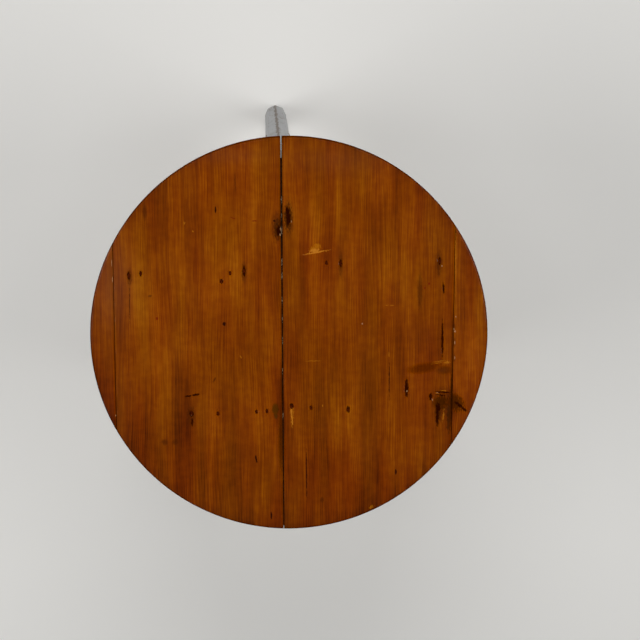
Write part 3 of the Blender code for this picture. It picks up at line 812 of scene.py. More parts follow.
print("zones:", len(GOLDEN), "golden,", len(DARKER), "darker,", len(PAINTED_SHEEN), "with_painted_sheen,", len(GRIME), "grimy")

# %% Work out the drift
KNOTS = {"right": (288.4, 217.5), "left": (277.8, 230), "burn": (444, 404)}
KNOT_HALF = 9 * MM
KNOT_SWING = 5 * MM  # how far the grain is pushed aside
KNOT_FADE = 2.2  # knot halves to the side at which the swing has mostly died out
KNOT_RUN = 30 * MM  # and the distance along the grain
# Each slow wandering: how far, and how long it is across the grain and along it
WANDERINGS = (1.6 * MM, 70 * MM, 450 * MM), (0.5 * MM, 30 * MM, 120 * MM)


def drift_of(x, y, seed):
    """Sideways shift of the grain: slow wandering, and a swing round each knot that dies out along it."""
    across, along = by_grain(x, y)
    drift = np.zeros_like(x)
    for number, (far, wide, long) in enumerate(WANDERINGS):
        drift += far * ripple(across, along, wide, long, seed + number)
    for pixel in KNOTS.values():
        across, along = from_pixel(pixel, x, y)
        side = across / KNOT_HALF
        drift -= KNOT_SWING * np.tanh(side) * np.exp(-((side / KNOT_FADE) ** 2) - (along / KNOT_RUN) ** 2)
    return drift


print("the grain swings round", len(KNOTS), "knots")

# %% Put a board together
LAY_STEP = 0.37  # metres between the patterns of two boards, for each step of the seed
# The rim is darkened: painted shade, fading inwards over this reach
RIM_DARKNESS, RIM_DARK_REACH = 0.7, 9 * MM
# Grime at the joints, and painted shade along the rim: how dark each is, and how far it reaches
RIM_PAINTED_SHADE, RIM_PAINTED_SHADE_REACH, RIM_PAINTED_SHADE_DEPTH = 0.7, 1.5 * MM, 5 * MM
MIDDLE_GRIME = 0.85, 0.8 * MM
SIDE_GRIME = 0.45, 0.5 * MM
# Where the varnish is rubbed off: this near the rim or a joint, and in dents deeper than this
RUBBED_RIM, RUBBED_JOINT, RUBBED_DENT = 2.4 * MM, 1.0 * MM, 0.04 * MM


def make_board(name, left, right, seed):
    """One board of the top: height field, walls and underside, with its drift and tones."""
    x, y = board_plan(left, right)
    upper = board_heights(x, y, left, right, seed)
    points, faces, finish = slab_shell(x + AXIS[0], y + AXIS[1], upper, TOP_UNDERSIDE, UNDER_ROUND)
    px, py = points[:, 0], points[:, 1]
    from_axis = points - AXIS
    rim = np.clip(TOP_RADIUS - np.hypot(from_axis[:, 0], from_axis[:, 1]), 0, 1)
    below = TOP_HEIGHT - points[:, 2]
    grime = zone_sum(GRIME, px, py)
    # Painted shade along the rim and down the top of its wall, added to the joints' grime
    grime += RIM_PAINTED_SHADE * np.exp(-((rim / RIM_PAINTED_SHADE_REACH) ** 2) - (below / RIM_PAINTED_SHADE_DEPTH) ** 2)
    rubbed = rim < RUBBED_RIM
    for edge in (left, right):
        if edge:
            apart = np.abs(from_axis[:, 0] - edge[0] - edge[1] * from_axis[:, 1])
            darkness, reach = MIDDLE_GRIME if abs(edge[0]) < TOP_RADIUS / 4 else SIDE_GRIME
            grime += darkness * np.exp(-((apart / reach) ** 2))
            rubbed |= apart < RUBBED_JOINT
    dented = np.maximum(dents(px, py), nail_pits(px, py, TOP_NAILS)) > RUBBED_DENT
    quads = np.array(faces[:-1])
    dull = np.append(rubbed[quads[:, 0]] | dented[quads].any(axis=1), False)
    finish = np.where((finish == 0) & dull, 2, finish).astype(np.int32)
    front = np.clip(-from_axis[:, 1] / TOP_RADIUS, 0, 1)
    fields = {
        "lay": points + LAY_STEP * seed,
        "drift": drift_of(px, py, seed + 2) + LAY_STEP * seed,
        "golden": zone_sum(GOLDEN, px, py),
        # darker in the zones, towards the front, and at the rim, where the darkening is painted shade
        "darker": zone_sum(DARKER, px, py) + front**3 + RIM_DARKNESS * np.exp(-rim / RIM_DARK_REACH),
        # grime of the joints, together with the painted shade along the rim
        "grime": np.clip(grime, 0, 1),
        "painted_sheen": zone_sum(PAINTED_SHEEN, px, py),
    }
    for kind, group in MARKS.items():
        fields[f"{kind}_reach"] = broad_reach(group.values(), px, py)
    finishes = [varnished_pine, dry_pine, pine_edge]
    return make_piece(name, points, faces, fields, finishes, finish)


print("a board carries", 6 + len(MARKS), "fields")

# %% [markdown]
# ## Varnished pine
# Pine, stained and brushed with shellac varnish, then darkened by a century of hands. Under the gloss lie
# patterns of every width: fibres as fine as the picture can show, lines and bands from the tree's good
# and lean years, and clouds where the stain took unevenly. Over them run the year rings, each of which
# darkens slowly and ends at once. Noise stretched along the grain gives the first kind, a saw-toothed
# wave the second. A wave alone would look printed.

# %% Find the grain's place
varnished_pine, tree, shader = start_material("varnished_pine")
place = node(tree, "TexCoord").outputs["Object"]
drift = node(tree, "Attribute", attribute_name="drift").outputs["Fac"]
sideways = node(tree, "CombineXYZ", {"X": drift}).outputs[0]
by_boards = node(tree, "Mapping", {"Vector": place, "Rotation": (0, 0, -GRAIN_TURN)}).outputs[0]
grain_place = node(tree, "VectorMath", {0: by_boards, 1: sideways}, operation="ADD").outputs[0]
print("the varnish reads its place and the boards' drift")

# %% Draw fibres, bands and clouds
NOISE_LOW, NOISE_HIGH = 0.3, 0.7  # most of a noise lies between these
GRAIN_DETAIL = 1.0
# Each pattern's size across the grain, along it and through the board in mm, and how much it lightens the
# wood. The hairs are drawn a little coarser than real fibres, so that they show.
GRAIN = {
    "hair": ((1.0, 34, 5), 0.14),
    "fibre": ((1.9, 50, 8), 0.13),
    "line": ((4.6, 90, 20), 0.07),
    "ring": ((9, 170, 40), 0.12),
    "band": ((19, 260, 60), 0.22),
    "mottle": ((14, 12, 20), 0.10),
    "cloud": ((46, 120, 60), 0.22),
}
# Slow changes that steer the rings and the hue: sizes in mm, and detail
SLOW_CHANGES = {
    "sway": ((30, 400, 60), GRAIN_DETAIL),
    "patch": ((20, 70, 30), GRAIN_DETAIL),
    "warmth": ((34, 180, 60), GRAIN_DETAIL),
}


def stretched_noises(tree, place, looks):
    """Noise for each row of a table, sizes in mm and detail: taken at the place divided by those sizes."""
    noises = {}
    for name, (sizes, detail) in looks.items():
        scaled = node(tree, "Mapping", {"Vector": place, "Scale": [1 / (size * MM) for size in sizes]})
        made = node(tree, "TexNoise", {"Vector": scaled.outputs[0], "Scale": 1.0, "Detail": detail})
        noises[name] = made.outputs
    return noises


noises = stretched_noises(tree, grain_place, {name: (row[0], GRAIN_DETAIL) for name, row in GRAIN.items()})
slow = stretched_noises(tree, grain_place, SLOW_CHANGES)
pattern, lightness = {}, None
for name, (sizes, weight) in GRAIN.items():
    limits = {0: noises[name]["Fac"], 1: NOISE_LOW, 2: NOISE_HIGH, 3: -weight / 2, 4: weight / 2}
    pattern[name] = node(tree, "MapRange", limits, **SMOOTH).outputs[0]
    if lightness is None:
        lightness = pattern[name]
    else:
        lightness = node(tree, "Math", {0: lightness, 1: pattern[name]}, operation="ADD").outputs[0]
print("patterns in the wood:", ", ".join(pattern))

# %% Count the year rings
RING_WIDTH = 4.2 * MM
SWAY_RINGS = 6.0  # how many rings the slow sway moves them by
RINGS_FAINT, RINGS_STRONG = 0.04, 0.30  # they show more in some patches than in others
across = node(tree, "SeparateXYZ", {0: grain_place}).outputs["X"]
count = node(tree, "Math", {0: across, 1: 1 / RING_WIDTH}, operation="MULTIPLY").outputs[0]
swayed = {0: slow["sway"]["Fac"], 1: SWAY_RINGS, 2: count}
count = node(tree, "Math", swayed, operation="MULTIPLY_ADD").outputs[0]
year = node(tree, "Math", {0: count}, operation="FRACT").outputs[0]
year = node(tree, "Math", {0: year, 1: -0.5}, operation="ADD").outputs[0]
limits = {0: slow["patch"]["Fac"], 1: 0.35, 2: 0.65, 3: RINGS_FAINT, 4: RINGS_STRONG}
shown = node(tree, "MapRange", limits).outputs[0]
lightness = node(tree, "Math", {0: year, 1: shown, 2: lightness}, operation="MULTIPLY_ADD").outputs[0]
print(f"a year ring is {RING_WIDTH / MM:.1f} mm wide")

# %% Colour the wood
MIDDLE_TONE = 0.56
DARKENING, GILDING = -0.30, 0.16  # what the zones of the boards do to the tone
WOOD_TONES = {0.0: "#491a00", 0.30: "#662a00", 0.52: "#763400", 0.75: "#874200", 1.0: "#9a5503"}
COOL_HUE, WARM_HUE = 0.4955, 0.5035
PAINTED_SHEEN_TINT, PAINTED_SHEEN_STRENGTH = "#6f3c20", 0.42
ZONES = ("golden", "darker", "painted_sheen", "grime")
zones = {name: node(tree, "Attribute", attribute_name=name).outputs["Fac"] for name in ZONES}
shade = node(tree, "Math", {0: lightness, 1: MIDDLE_TONE}, operation="ADD").outputs[0]
for zone, weight in (("darker", DARKENING), ("golden", GILDING)):
    shade = node(tree, "Math", {0: zones[zone], 1: weight, 2: shade}, operation="MULTIPLY_ADD").outputs[0]

ramp = node(tree, "ValToRGB", {0: shade})
stops = ramp.color_ramp.elements
while len(stops) < len(WOOD_TONES):
    stops.new(0.5)
for stop, (position, tint) in zip(stops, WOOD_TONES.items()):
    stop.position = position
    stop.color = linear(tint)
limits = {0: slow["warmth"]["Fac"], 1: NOISE_LOW, 2: NOISE_HIGH, 3: COOL_HUE, 4: WARM_HUE}
hue = node(tree, "MapRange", limits).outputs[0]
colour = node(tree, "HueSaturation", {"Hue": hue, "Color": ramp.outputs[0]}).outputs[0]
# Painted sheen: where its zones lie, the colour is mixed towards a greyish-mauve reflection
veil = {0: zones["painted_sheen"], 1: PAINTED_SHEEN_STRENGTH}
veil = node(tree, "Math", veil, operation="MULTIPLY", use_clamp=True).outputs[0]
colour = node(tree, "Mix", {0: veil, 6: colour, 7: linear(PAINTED_SHEEN_TINT)}, data_type="RGBA").outputs[2]
print("tones of the wood:", list(WOOD_TONES.values()))

# %% [markdown]
# The marks come next. The boards' points already carry the distance from the broad ones. Each fine one is
# a small group of nodes: the offset from the mark's middle is measured along its two axes, in half sizes.
# The least distance of one kind becomes a soft disc, torn a little along the grain and shaken in its
# place, because no dent in wood is a clean oval. Each kind has its own colour.

# %% Roughen the marks' outlines
SHAKE = 1.5 * MM, 2.4 * MM, 0
ROUGHNESS = {"jitter": ((2.2, 4.5, 4), 3.0)}
TEARING = {"torn": ((1.0, 5, 4), 2.0)}
jitter = stretched_noises(tree, place, ROUGHNESS)["jitter"]["Color"]
torn = stretched_noises(tree, grain_place, TEARING)["torn"]["Fac"]
centred = node(tree, "VectorMath", {0: jitter, 1: (0.5, 0.5, 0.5)}, operation="SUBTRACT").outputs[0]
shaken = node(tree, "VectorMath", {0: centred, 1: SHAKE, 2: place}, operation="MULTIPLY_ADD").outputs[0]


def oval_reach(mark, tear):
    """Square of the distance from a mark's middle, in half sizes: a dot product along each of its axes,
    squared. The tear is added to it."""
    offset = node(tree, "VectorMath", {0: shaken, 1: on_top(mark.at)}, operation="SUBTRACT").outputs[0]
    total = tear
    for axis in mark_axes(mark):
        part = node(tree, "VectorMath", {0: offset, 1: axis}, operation="DOT_PRODUCT").outputs["Value"]
        total = node(tree, "Math", {0: part, 1: part, 2: total}, operation="MULTIPLY_ADD").outputs[0]
    return total


print("fine marks:", sum(not is_broad(mark) for group in MARKS.values() for mark in group.values()))

# %% Draw the marks
# Each kind's colour, strength, the distances at which its disc is empty and full, and how far it is torn
MARK_LOOKS = {
    "stain": ("#431900", 0.62, 1.25, 0.15, 0.8),
    "scorch": ("#361800", 0.76, 1.3, 0.5, 1.6),
    "rub": ("#6a1402", 0.85, 1.2, 0.5, 0.5),
    "putty": ("#432804", 0.78, 1.2, 0.5, 0.6),
    "scrape": ("#a9640f", 0.72, 1.25, 0.4, 2.4),
    "hole": ("#260700", 0.96, 1.25, 0.75, 1.2),
    "chip": ("#b8711f", 0.92, 1.25, 0.5, 1.8),
    "speck": ("#a67a55", 0.85, 1.2, 0.4, 0.8),
}
GRIME_AND_SHADE_TINT = "#1f0a00"
# The grime field also holds the painted shade along the rim, so both lie over these kinds.
LAST_UNDER_GRIME_AND_SHADE = "putty"  # grime lies over the kinds up to this one, and the others break through it
MARKS_END, MARKS_FULL = 6 * MM, 3 * MM  # marks belong to the face and fade out this far below it

height = node(tree, "SeparateXYZ", {0: place}).outputs["Z"]
limits = {0: height, 1: TOP_HEIGHT - MARKS_END, 2: TOP_HEIGHT - MARKS_FULL}
on_face = node(tree, "MapRange", limits).outputs[0]
discs = {}
for kind, (tint, strength, empty, full, tearing) in MARK_LOOKS.items():
    limits = {0: torn, 1: NOISE_LOW, 2: NOISE_HIGH, 3: -tearing / 2, 4: tearing / 2}
    tear = node(tree, "MapRange", limits).outputs[0]
    broad = node(tree, "Attribute", attribute_name=f"{kind}_reach").outputs["Fac"]
    nearest = node(tree, "Math", {0: broad, 1: broad, 2: tear}, operation="MULTIPLY_ADD").outputs[0]
    for mark in MARKS[kind].values():
        if not is_broad(mark):
            fine = oval_reach(mark, tear)
            nearest = node(tree, "Math", {0: nearest, 1: fine}, operation="MINIMUM").outputs[0]
    limits = {0: nearest, 1: empty**2, 2: full**2, 4: strength}
    disc = node(tree, "MapRange", limits, **SMOOTH).outputs[0]
    discs[kind] = node(tree, "Math", {0: disc, 1: on_face}, operation="MULTIPLY").outputs[0]
    colour = node(tree, "Mix", {0: discs[kind], 6: colour, 7: linear(tint)}, data_type="RGBA").outputs[2]
    # Mixed over the marks: the joints' grime, and the painted shade along the rim
    if kind == LAST_UNDER_GRIME_AND_SHADE:
        grimy = {0: zones["grime"], 6: colour, 7: linear(GRIME_AND_SHADE_TINT)}
        colour = node(tree, "Mix", grimy, data_type="RGBA").outputs[2]
fill(tree, shader, {"Base Color": colour})
print("kinds of mark:", ", ".join(discs))

# %% Brush on the varnish
GLOSSY, DULLER = 0.23, 0.26  # roughness of the varnish, which changes with the clouds
CHIP_DULLNESS = 0.3
cloud = {0: pattern["cloud"], 1: -0.1, 2: 0.1, 3: GLOSSY, 4: DULLER}
gloss = node(tree, "MapRange", cloud).outputs[0]
dulled = {0: discs["chip"], 1: CHIP_DULLNESS, 2: gloss}
dulled = node(tree, "Math", dulled, operation="MULTIPLY_ADD").outputs[0]
relief = {0: pattern["ring"], 1: 2.0, 2: pattern["fibre"]}
relief = node(tree, "Math", relief, operation="MULTIPLY_ADD").outputs[0]
bump = node(tree, "Bump", {"Height": relief, "Strength": 0.35, "Distance": 0.6 * MM}).outputs[0]
fill(tree, shader, {"Roughness": dulled, "Specular IOR Level": 0.2, "IOR": 1.5, "Normal": bump})
print("varnished pine:", len(tree.nodes), "nodes")

# At the rim, along the joints and in the dents the varnish is rubbed off, so the same wood is dull there.
pine_edge = varnished_pine.copy()
pine_edge.name = "varnished_pine_rubbed_edge"
dull = pine_edge.node_tree.nodes["Principled BSDF"].inputs
pine_edge.node_tree.links.remove(dull["Roughness"].links[0])
dull["Roughness"].default_value = 0.5
dull["Specular IOR Level"].default_value = 0.0

# %% [markdown]
# ## Dry pine
# Under the top nobody stained or varnished: the boards and the batten are sawn pine gone brown with age.
# It is dull, with the same rings, and faint ridges from the saw every few millimetres across the board.
# Its patterns read the field "lay", which each piece carries: its own place counted across the grain,
# along it and through the wood.

# %% Mix the dry pine
PALE_BAND, DARK_BAND = "#96703f", "#7c552e"
# Sizes in mm across the grain, along it and through the wood, and detail
DRY_GRAIN = {
    "band": ((24, 600, 40), 1.0),
    "ring": ((4.6, 320, 30), 2.0),
    "fibre": ((1.1, 40, 4), 2.0),
    "saw": ((400, 3.2, 90), 1.0),
    "dirt": ((45, 60, 45), 4.0),
}
# What lies over the bands, how much of it, and its colour
DRY_LAYERS = (("ring", 0.45, "#5f3d1e"), ("fibre", 0.25, "#6b4826"), ("dirt", 0.4, "#55402a"))


def full_patterns(tree, place, looks):
    """Stretched noises of a table, each spread out until most of it reaches from 0 to 1."""
    patterns = {}
    for name, noise in stretched_noises(tree, place, looks).items():
        limits = {0: noise["Fac"], 1: NOISE_LOW, 2: NOISE_HIGH}
        patterns[name] = node(tree, "MapRange", limits).outputs[0]
    return patterns


dry_pine, tree, shader = start_material("dry_pine")
lay = node(tree, "Attribute", attribute_name="lay").outputs["Vector"]
pattern = full_patterns(tree, lay, DRY_GRAIN)
bands = {0: pattern["band"], 6: linear(DARK_BAND), 7: linear(PALE_BAND)}
colour = node(tree, "Mix", bands, data_type="RGBA").outputs[2]
for name, weight, tint in DRY_LAYERS:
    amount = node(tree, "Math", {0: pattern[name], 1: weight}, operation="MULTIPLY").outputs[0]
    colour = node(tree, "Mix", {0: amount, 6: colour, 7: linear(tint)}, data_type="RGBA").outputs[2]
relief = {0: pattern["saw"], 1: 1.2, 2: pattern["fibre"]}
relief = node(tree, "Math", relief, operation="MULTIPLY_ADD").outputs[0]
bump = node(tree, "Bump", {"Height": relief, "Strength": 0.6, "Distance": 0.25 * MM}).outputs[0]
fill(tree, shader, {"Base Color": colour, "Roughness": 0.82, "Specular IOR Level": 0.3, "Normal": bump})
print("dry pine:", len(tree.nodes), "nodes")

# %% Make the boards
make_board("top_left_strip", None, left_strip_edge, 11)
make_board("top_left_board", *left_board_edges, 23)
make_board("top_right_board", *right_board_edges, 35)
make_board("top_right_strip", right_strip_edge, None, 47)

# %% [markdown]
# ## Dirt in the middle joint
# The two wide boards have shrunk apart. Wax, dust and crumbs have packed into the gap, all but a hand's
# breadth at the rear, where daylight still shows through. It is a lumpy ribbon that follows the joint: a
# small section carried along it, whose height rises and falls. Left open, the gap would show the pale
# floor along its whole length.

# %% Mix the packed dirt
DIRT_LUMPS = {"lumps": ((1.4, 2.6, 2), 3.0)}
DARKEST_DIRT, DIRT_TINT, CRUMB_TINT = "#0d0501", "#2c1607", "#705d48"

joint_dirt, tree, shader = start_material("packed_dirt")
place = node(tree, "TexCoord").outputs["Object"]
lumps = stretched_noises(tree, place, DIRT_LUMPS)["lumps"]["Fac"]
crumbs = node(tree, "Attribute", attribute_name="crumbs").outputs["Fac"]
paleness = node(tree, "Math", {0: crumbs, 1: lumps}, operation="MULTIPLY").outputs[0]
pale = node(tree, "MapRange", {0: paleness, 1: 0.40, 2: 0.56}, **SMOOTH).outputs[0]
dark = {0: lumps, 6: linear(DARKEST_DIRT), 7: linear(DIRT_TINT)}
dark = node(tree, "Mix", dark, data_type="RGBA").outputs[2]
colour = node(tree, "Mix", {0: pale, 6: dark, 7: linear(CRUMB_TINT)}, data_type="RGBA").outputs[2]
bump = node(tree, "Bump", {"Height": lumps, "Strength": 0.8, "Distance": 0.5 * MM}).outputs[0]
fill(tree, shader, {"Base Color": colour, "Roughness": 0.95, "Specular IOR Level": 0.1, "Normal": bump})
print("packed dirt:", len(tree.nodes), "nodes")

# %% Pack the middle joint
DIRT_REAR_PIXEL = (283.0, 158.0)
DIRT_FRONT_PIXEL = (281.5, 528.0)
CRUMB_COLUMN = 281.6  # pixel column of the joint
CRUMB_ROWS = (199, 215, 231, 262, 276, 300, 318, 341, 372, 416)  # pixel rows where pale crumbs show
CRUMB_SPREAD = 11 * MM
MOST_CRUMBS = 1.3
DIRT_STEP = 1.2 * MM
DIRT_SIDES = 12
DIRT_SQUARENESS = 1.5  # how far a round section is pressed out against the walls of the gap
DIRT_DEPTH = 4.0 * MM
DIRT_OVERLAP = 0.15 * MM
DIRT_SINK, DIRT_WAVE, DIRT_SWELL = 1.2 * MM, 0.5 * MM, 0.35 * MM
DIRT_FALL, DIRT_FALL_RUN = 3 * MM, 12 * MM  # it falls away before its rear end
DIRT_WAVE_SIZE = 12 * MM, 50 * MM
DIRT_SEED = 71

rear, front = (on_top(pixel)[1] - AXIS[1] for pixel in (DIRT_REAR_PIXEL, DIRT_FRONT_PIXEL))
rim_front = -math.sqrt(TOP_RADIUS**2 - left_board_edges[1][0] ** 2)
front = max(front, rim_front + 2 * RIM_ROUND)
run = np.linspace(front, rear, int((rear - front) / DIRT_STEP))[:, None]
gap_left, gap_right = (x + slope * run for x, slope in (left_board_edges[1], right_board_edges[0]))
middle, half = (gap_left + gap_right) / 2, (gap_right - gap_left) / 2 + DIRT_OVERLAP
sunk = DIRT_SINK + DIRT_WAVE * ripple(run, run, *DIRT_WAVE_SIZE, DIRT_SEED)
sunk = sunk + DIRT_FALL * np.clip((run - rear) / DIRT_FALL_RUN + 1, 0, 1) ** 2
turn = np.linspace(0, 2 * np.pi, DIRT_SIDES, endpoint=False)[None, :]
swell = np.where(np.sin(turn) > 0, DIRT_SWELL * np.sin(turn), 0)
flat_top = np.where(np.sin(turn) > 0, -sunk, -sunk - DIRT_DEPTH)
across = middle + half * np.clip(DIRT_SQUARENESS * np.cos(turn), -1, 1)
along = np.broadcast_to(run, across.shape)
points = np.stack([across, along, TOP_HEIGHT + flat_top + swell], axis=-1) + AXIS
crumb_places = [on_top((CRUMB_COLUMN, row))[1] for row in CRUMB_ROWS]
crumbs = sum(np.exp(-(((points[..., 1] - y) / CRUMB_SPREAD) ** 2)) for y in crumb_places)
fields = {"crumbs": np.clip(crumbs, 0, MOST_CRUMBS).ravel()}
make_piece("middle_joint_dirt", points, bar_faces(*across.shape), fields, [joint_dirt])

# %% [markdown]
# ## Old grey paint
# The frame was brushed with grey oil paint long ago. The brush left fine streaks along each piece. Since
# then every arris has been rubbed to the wood, and knocks have lifted flakes, most of all near the feet.
# Each painted piece carries "lay", its place across, along and through the wood, "arris", the distance
# from its nearest edge, and "scuff", how much it has been kicked. The paint ends where noise, arris and
# scuff say so.

# %% Mix the coat
# Sizes in mm across the piece, along it and through it, and detail
PAINT_PATTERNS = {
    "brush": ((1.8, 85, 1.8), 2.0),
    "cloud": ((45, 80, 45), 3.0),
    "flake": ((4.5, 11, 4.5), 4.0),
    "knock": ((9, 20, 9), 5.0),
    "wood": ((1.6, 55, 1.6), 2.0),
    "grime": ((16, 30, 16), 4.0),
}
DARK_COAT, PALE_COAT, STREAK_TINT, DIRT_ON_PAINT = "#9c9d9f", "#aeafb1", "#8b8c8d", "#6e675c"
DARK_WOOD, PALE_WOOD, HANDLED_TINT = "#5a3d26", "#86633f", "#6d645c"

grey_paint, tree, shader = start_material("old_grey_paint_on_pine")
lay = node(tree, "Attribute", attribute_name="lay").outputs["Vector"]
arris = node(tree, "Attribute", attribute_name="arris").outputs["Fac"]
scuff = node(tree, "Attribute", attribute_name="scuff").outputs["Fac"]
pattern = full_patterns(tree, lay, PAINT_PATTERNS)
coat = {0: pattern["cloud"], 6: linear(DARK_COAT), 7: linear(PALE_COAT)}
coat = node(tree, "Mix", coat, data_type="RGBA").outputs[2]
streak = node(tree, "Math", {0: pattern["brush"], 1: 0.35}, operation="MULTIPLY").outputs[0]
coat = node(tree, "Mix", {0: streak, 6: coat, 7: linear(STREAK_TINT)}, data_type="RGBA").outputs[2]
dirt = node(tree, "MapRange", {0: pattern["grime"], 1: 0.55, 2: 1.0, 4: 0.35}).outputs[0]
dirt = {0: scuff, 1: 0.25, 2: dirt}
dirt = node(tree, "Math", dirt, operation="MULTIPLY_ADD", use_clamp=True).outputs[0]
coat = node(tree, "Mix", {0: dirt, 6: coat, 7: linear(DIRT_ON_PAINT)}, data_type="RGBA").outputs[2]
wood = {0: pattern["wood"], 6: linear(DARK_WOOD), 7: linear(PALE_WOOD)}
wood = node(tree, "Mix", wood, data_type="RGBA").outputs[2]
print("patterns in the paint:", ", ".join(pattern))

# %% Wear the paint through
FLAKE_REACH = 3.2  # mm that the flakes shift the edge of the paint by
BARE_WITHIN, PAINTED_BEYOND = 1.4, 3.6  # mm from the arris, after that shift
RUBBED_MOST, FLAKED_MOST = 0.8, 0.9
KNOCKS_TAKEN = -0.32  # how much a full scuff helps a knock to lift the paint
KNOCK_EDGE, KNOCK_BARE = 0.02, -0.06

from_arris = node(tree, "Math", {0: arris, 1: 1 / MM}, operation="MULTIPLY").outputs[0]
shifted = {0: pattern["flake"], 1: FLAKE_REACH, 2: from_arris}
from_arris = node(tree, "Math", shifted, operation="MULTIPLY_ADD").outputs[0]
limits = {0: from_arris, 1: PAINTED_BEYOND, 2: BARE_WITHIN, 4: RUBBED_MOST}
rubbed = node(tree, "MapRange", limits, **SMOOTH).outputs[0]
lifted = {0: scuff, 1: KNOCKS_TAKEN, 2: pattern["knock"]}
lifted = node(tree, "Math", lifted, operation="MULTIPLY_ADD").outputs[0]
limits = {0: lifted, 1: KNOCK_EDGE, 2: KNOCK_BARE, 4: FLAKED_MOST}
flaked = node(tree, "MapRange", limits, **SMOOTH).outputs[0]
bare = node(tree, "Math", {0: rubbed, 1: flaked}, operation="MAXIMUM").outputs[0]
handled = node(tree, "Mix", {0: 0.25, 6: linear(HANDLED_TINT), 7: wood}, data_type="RGBA").outputs[2]
colour = node(tree, "Mix", {0: rubbed, 6: coat, 7: handled}, data_type="RGBA").outputs[2]
colour = node(tree, "Mix", {0: flaked, 6: colour, 7: wood}, data_type="RGBA").outputs[2]
dullness = node(tree, "MapRange", {0: bare, 3: 0.55, 4: 0.75}).outputs[0]
thickness = node(tree, "Math", {0: bare, 1: -1.0, 2: 1.0}, operation="MULTIPLY_ADD").outputs[0]
relief = {0: pattern["brush"], 1: 0.35, 2: thickness}
relief = node(tree, "Math", relief, operation="MULTIPLY_ADD").outputs[0]
bump = node(tree, "Bump", {"Height": relief, "Strength": 0.5, "Distance": 0.25 * MM}).outputs[0]
finish = {"Base Color": colour, "Roughness": dullness, "Specular IOR Level": 0.35, "Normal": bump}
fill(tree, shader, finish)
print("old grey paint:", len(tree.nodes), "nodes")

# %% [markdown]
# ## A section with worn arrises
# Rails, stretchers and the batten are bars: a rectangle carried along a line. A plane leaves a sharp
# arris and hands wear it round, more in one place than in another. A bevel modifier would give the same
# round everywhere, so the section is worked out here, with a radius of its own at each corner of each
# station.

# %% Work out the section
EDGE_STEPS = np.array([0, 0.35, 0.8, 1.4, 2.2, 3.4, 5.0]) * MM
SHORT_SIDE = 12 * MM  # on sides shorter than this the steps shrink in proportion
INNER_SHARES = np.linspace(0, 1, 6)[1:-1]
CORNER_WAYS = np.array([(1, -1), (1, 1), (-1, 1), (-1, -1)])
SIDE_APART = 0.7  # how far apart the waves of neighbouring corners or faces are taken
ROUND_WAVE = 130 * MM, 1.0


def worn_section(half_wide, half_high, radius):
    """Outline of a rounded rectangle for each station of a bar: offsets, and distance to an arris.

    Points of the sharp outline are drawn back to the nearest point of a rectangle that is smaller by the
    corner's radius, and set out from there again by that radius: the sides stay as they are and the corners
    turn round.
    """
    half = np.stack([half_wide, half_high], axis=-1)[:, None, :]
    sharp, arris, rounds = [], [], []
    for corner, (start, end) in enumerate(zip(CORNER_WAYS, np.roll(CORNER_WAYS, -1, axis=0))):
        way = (end - start) / 2
        length = 2 * np.abs(half @ way)
        steps = EDGE_STEPS * np.minimum(1, length / SHORT_SIDE)
        inner = steps[:, -1:] + (length - 2 * steps[:, -1:]) * INNER_SHARES
        place = np.hstack([steps, inner, (length - steps)[:, :0:-1]])
        sharp.append(start * half + way * place[..., None])
        arris.append(np.minimum(place, length - place))
        nearer_end = place > length / 2
        rounds.append(np.where(nearer_end, radius[:, [(corner + 1) % 4]], radius[:, [corner]]))
    sharp, arris, rounds = np.hstack(sharp), np.hstack(arris), np.hstack(rounds)[..., None]
    core = np.clip(sharp, rounds - half, half - rounds)
    out = sharp - core
    return core + rounds * out / np.linalg.norm(out, axis=-1, keepdims=True), arris


def worn_rounds(run, least, most, seed):
    """A radius for each corner at each station, which wanders between the least and the most."""
    wander = ripple(run[:, None], np.arange(4)[None, :] * SIDE_APART, *ROUND_WAVE, seed)
    return least + (most - least) * (wander + 1) / 2


print("points round a section:", 4 * (2 * len(EDGE_STEPS) - 1 + len(INNER_SHARES)))

# %% [markdown]
# ## The legs
# Each leg is a slender post with eight planed faces, set so that one arris points straight outwards. It
# leans out to its foot and thins on the way down. The solids give the section at the sole and at the
# head. Between them it is carried up in level slices, a little uneven from the plane. The outward arris
# is rubbed most, and the sole's edge is rounded by a lifetime on stone floors.

# %% Work out a leg's section
LEG_FACES = 8
HALF_FACE = math.pi / LEG_FACES
FACE_SHARES = np.array([-1, -0.97, -0.92, -0.85, -0.7, -0.45, -0.15, 0.15, 0.45, 0.7, 0.85, 0.92, 0.97])
OUTWARD_SPREAD = 0.8  # share of its distance at which the outward arris is counted
RUBBED_PAINT = 1.2 * MM  # how much further the outward arris is rubbed
KEPT_PAINT = 1.5 * MM  # how much less the others are
SAME_LEVEL = 0.05 * MM


def at_level(points, level, axis=2):
    """The points that lie at one level, counted upwards or along another axis."""
    return points[np.abs(points[:, axis] - level) < SAME_LEVEL]


def leg_section(points, level):
    """Middle of the leg at one level, the distance from there to its faces, and its two directions."""
    ring = at_level(points, level)
    middle = (ring.min(0) + ring.max(0)) / 2
    outward = unit(middle - AXIS - [0, 0, level])
    sideways = np.array([-outward[1], outward[0], 0])
    face = math.cos(HALF_FACE) * outward + math.sin(HALF_FACE) * sideways
    return middle, ((ring - middle) @ face).max(), outward, sideways


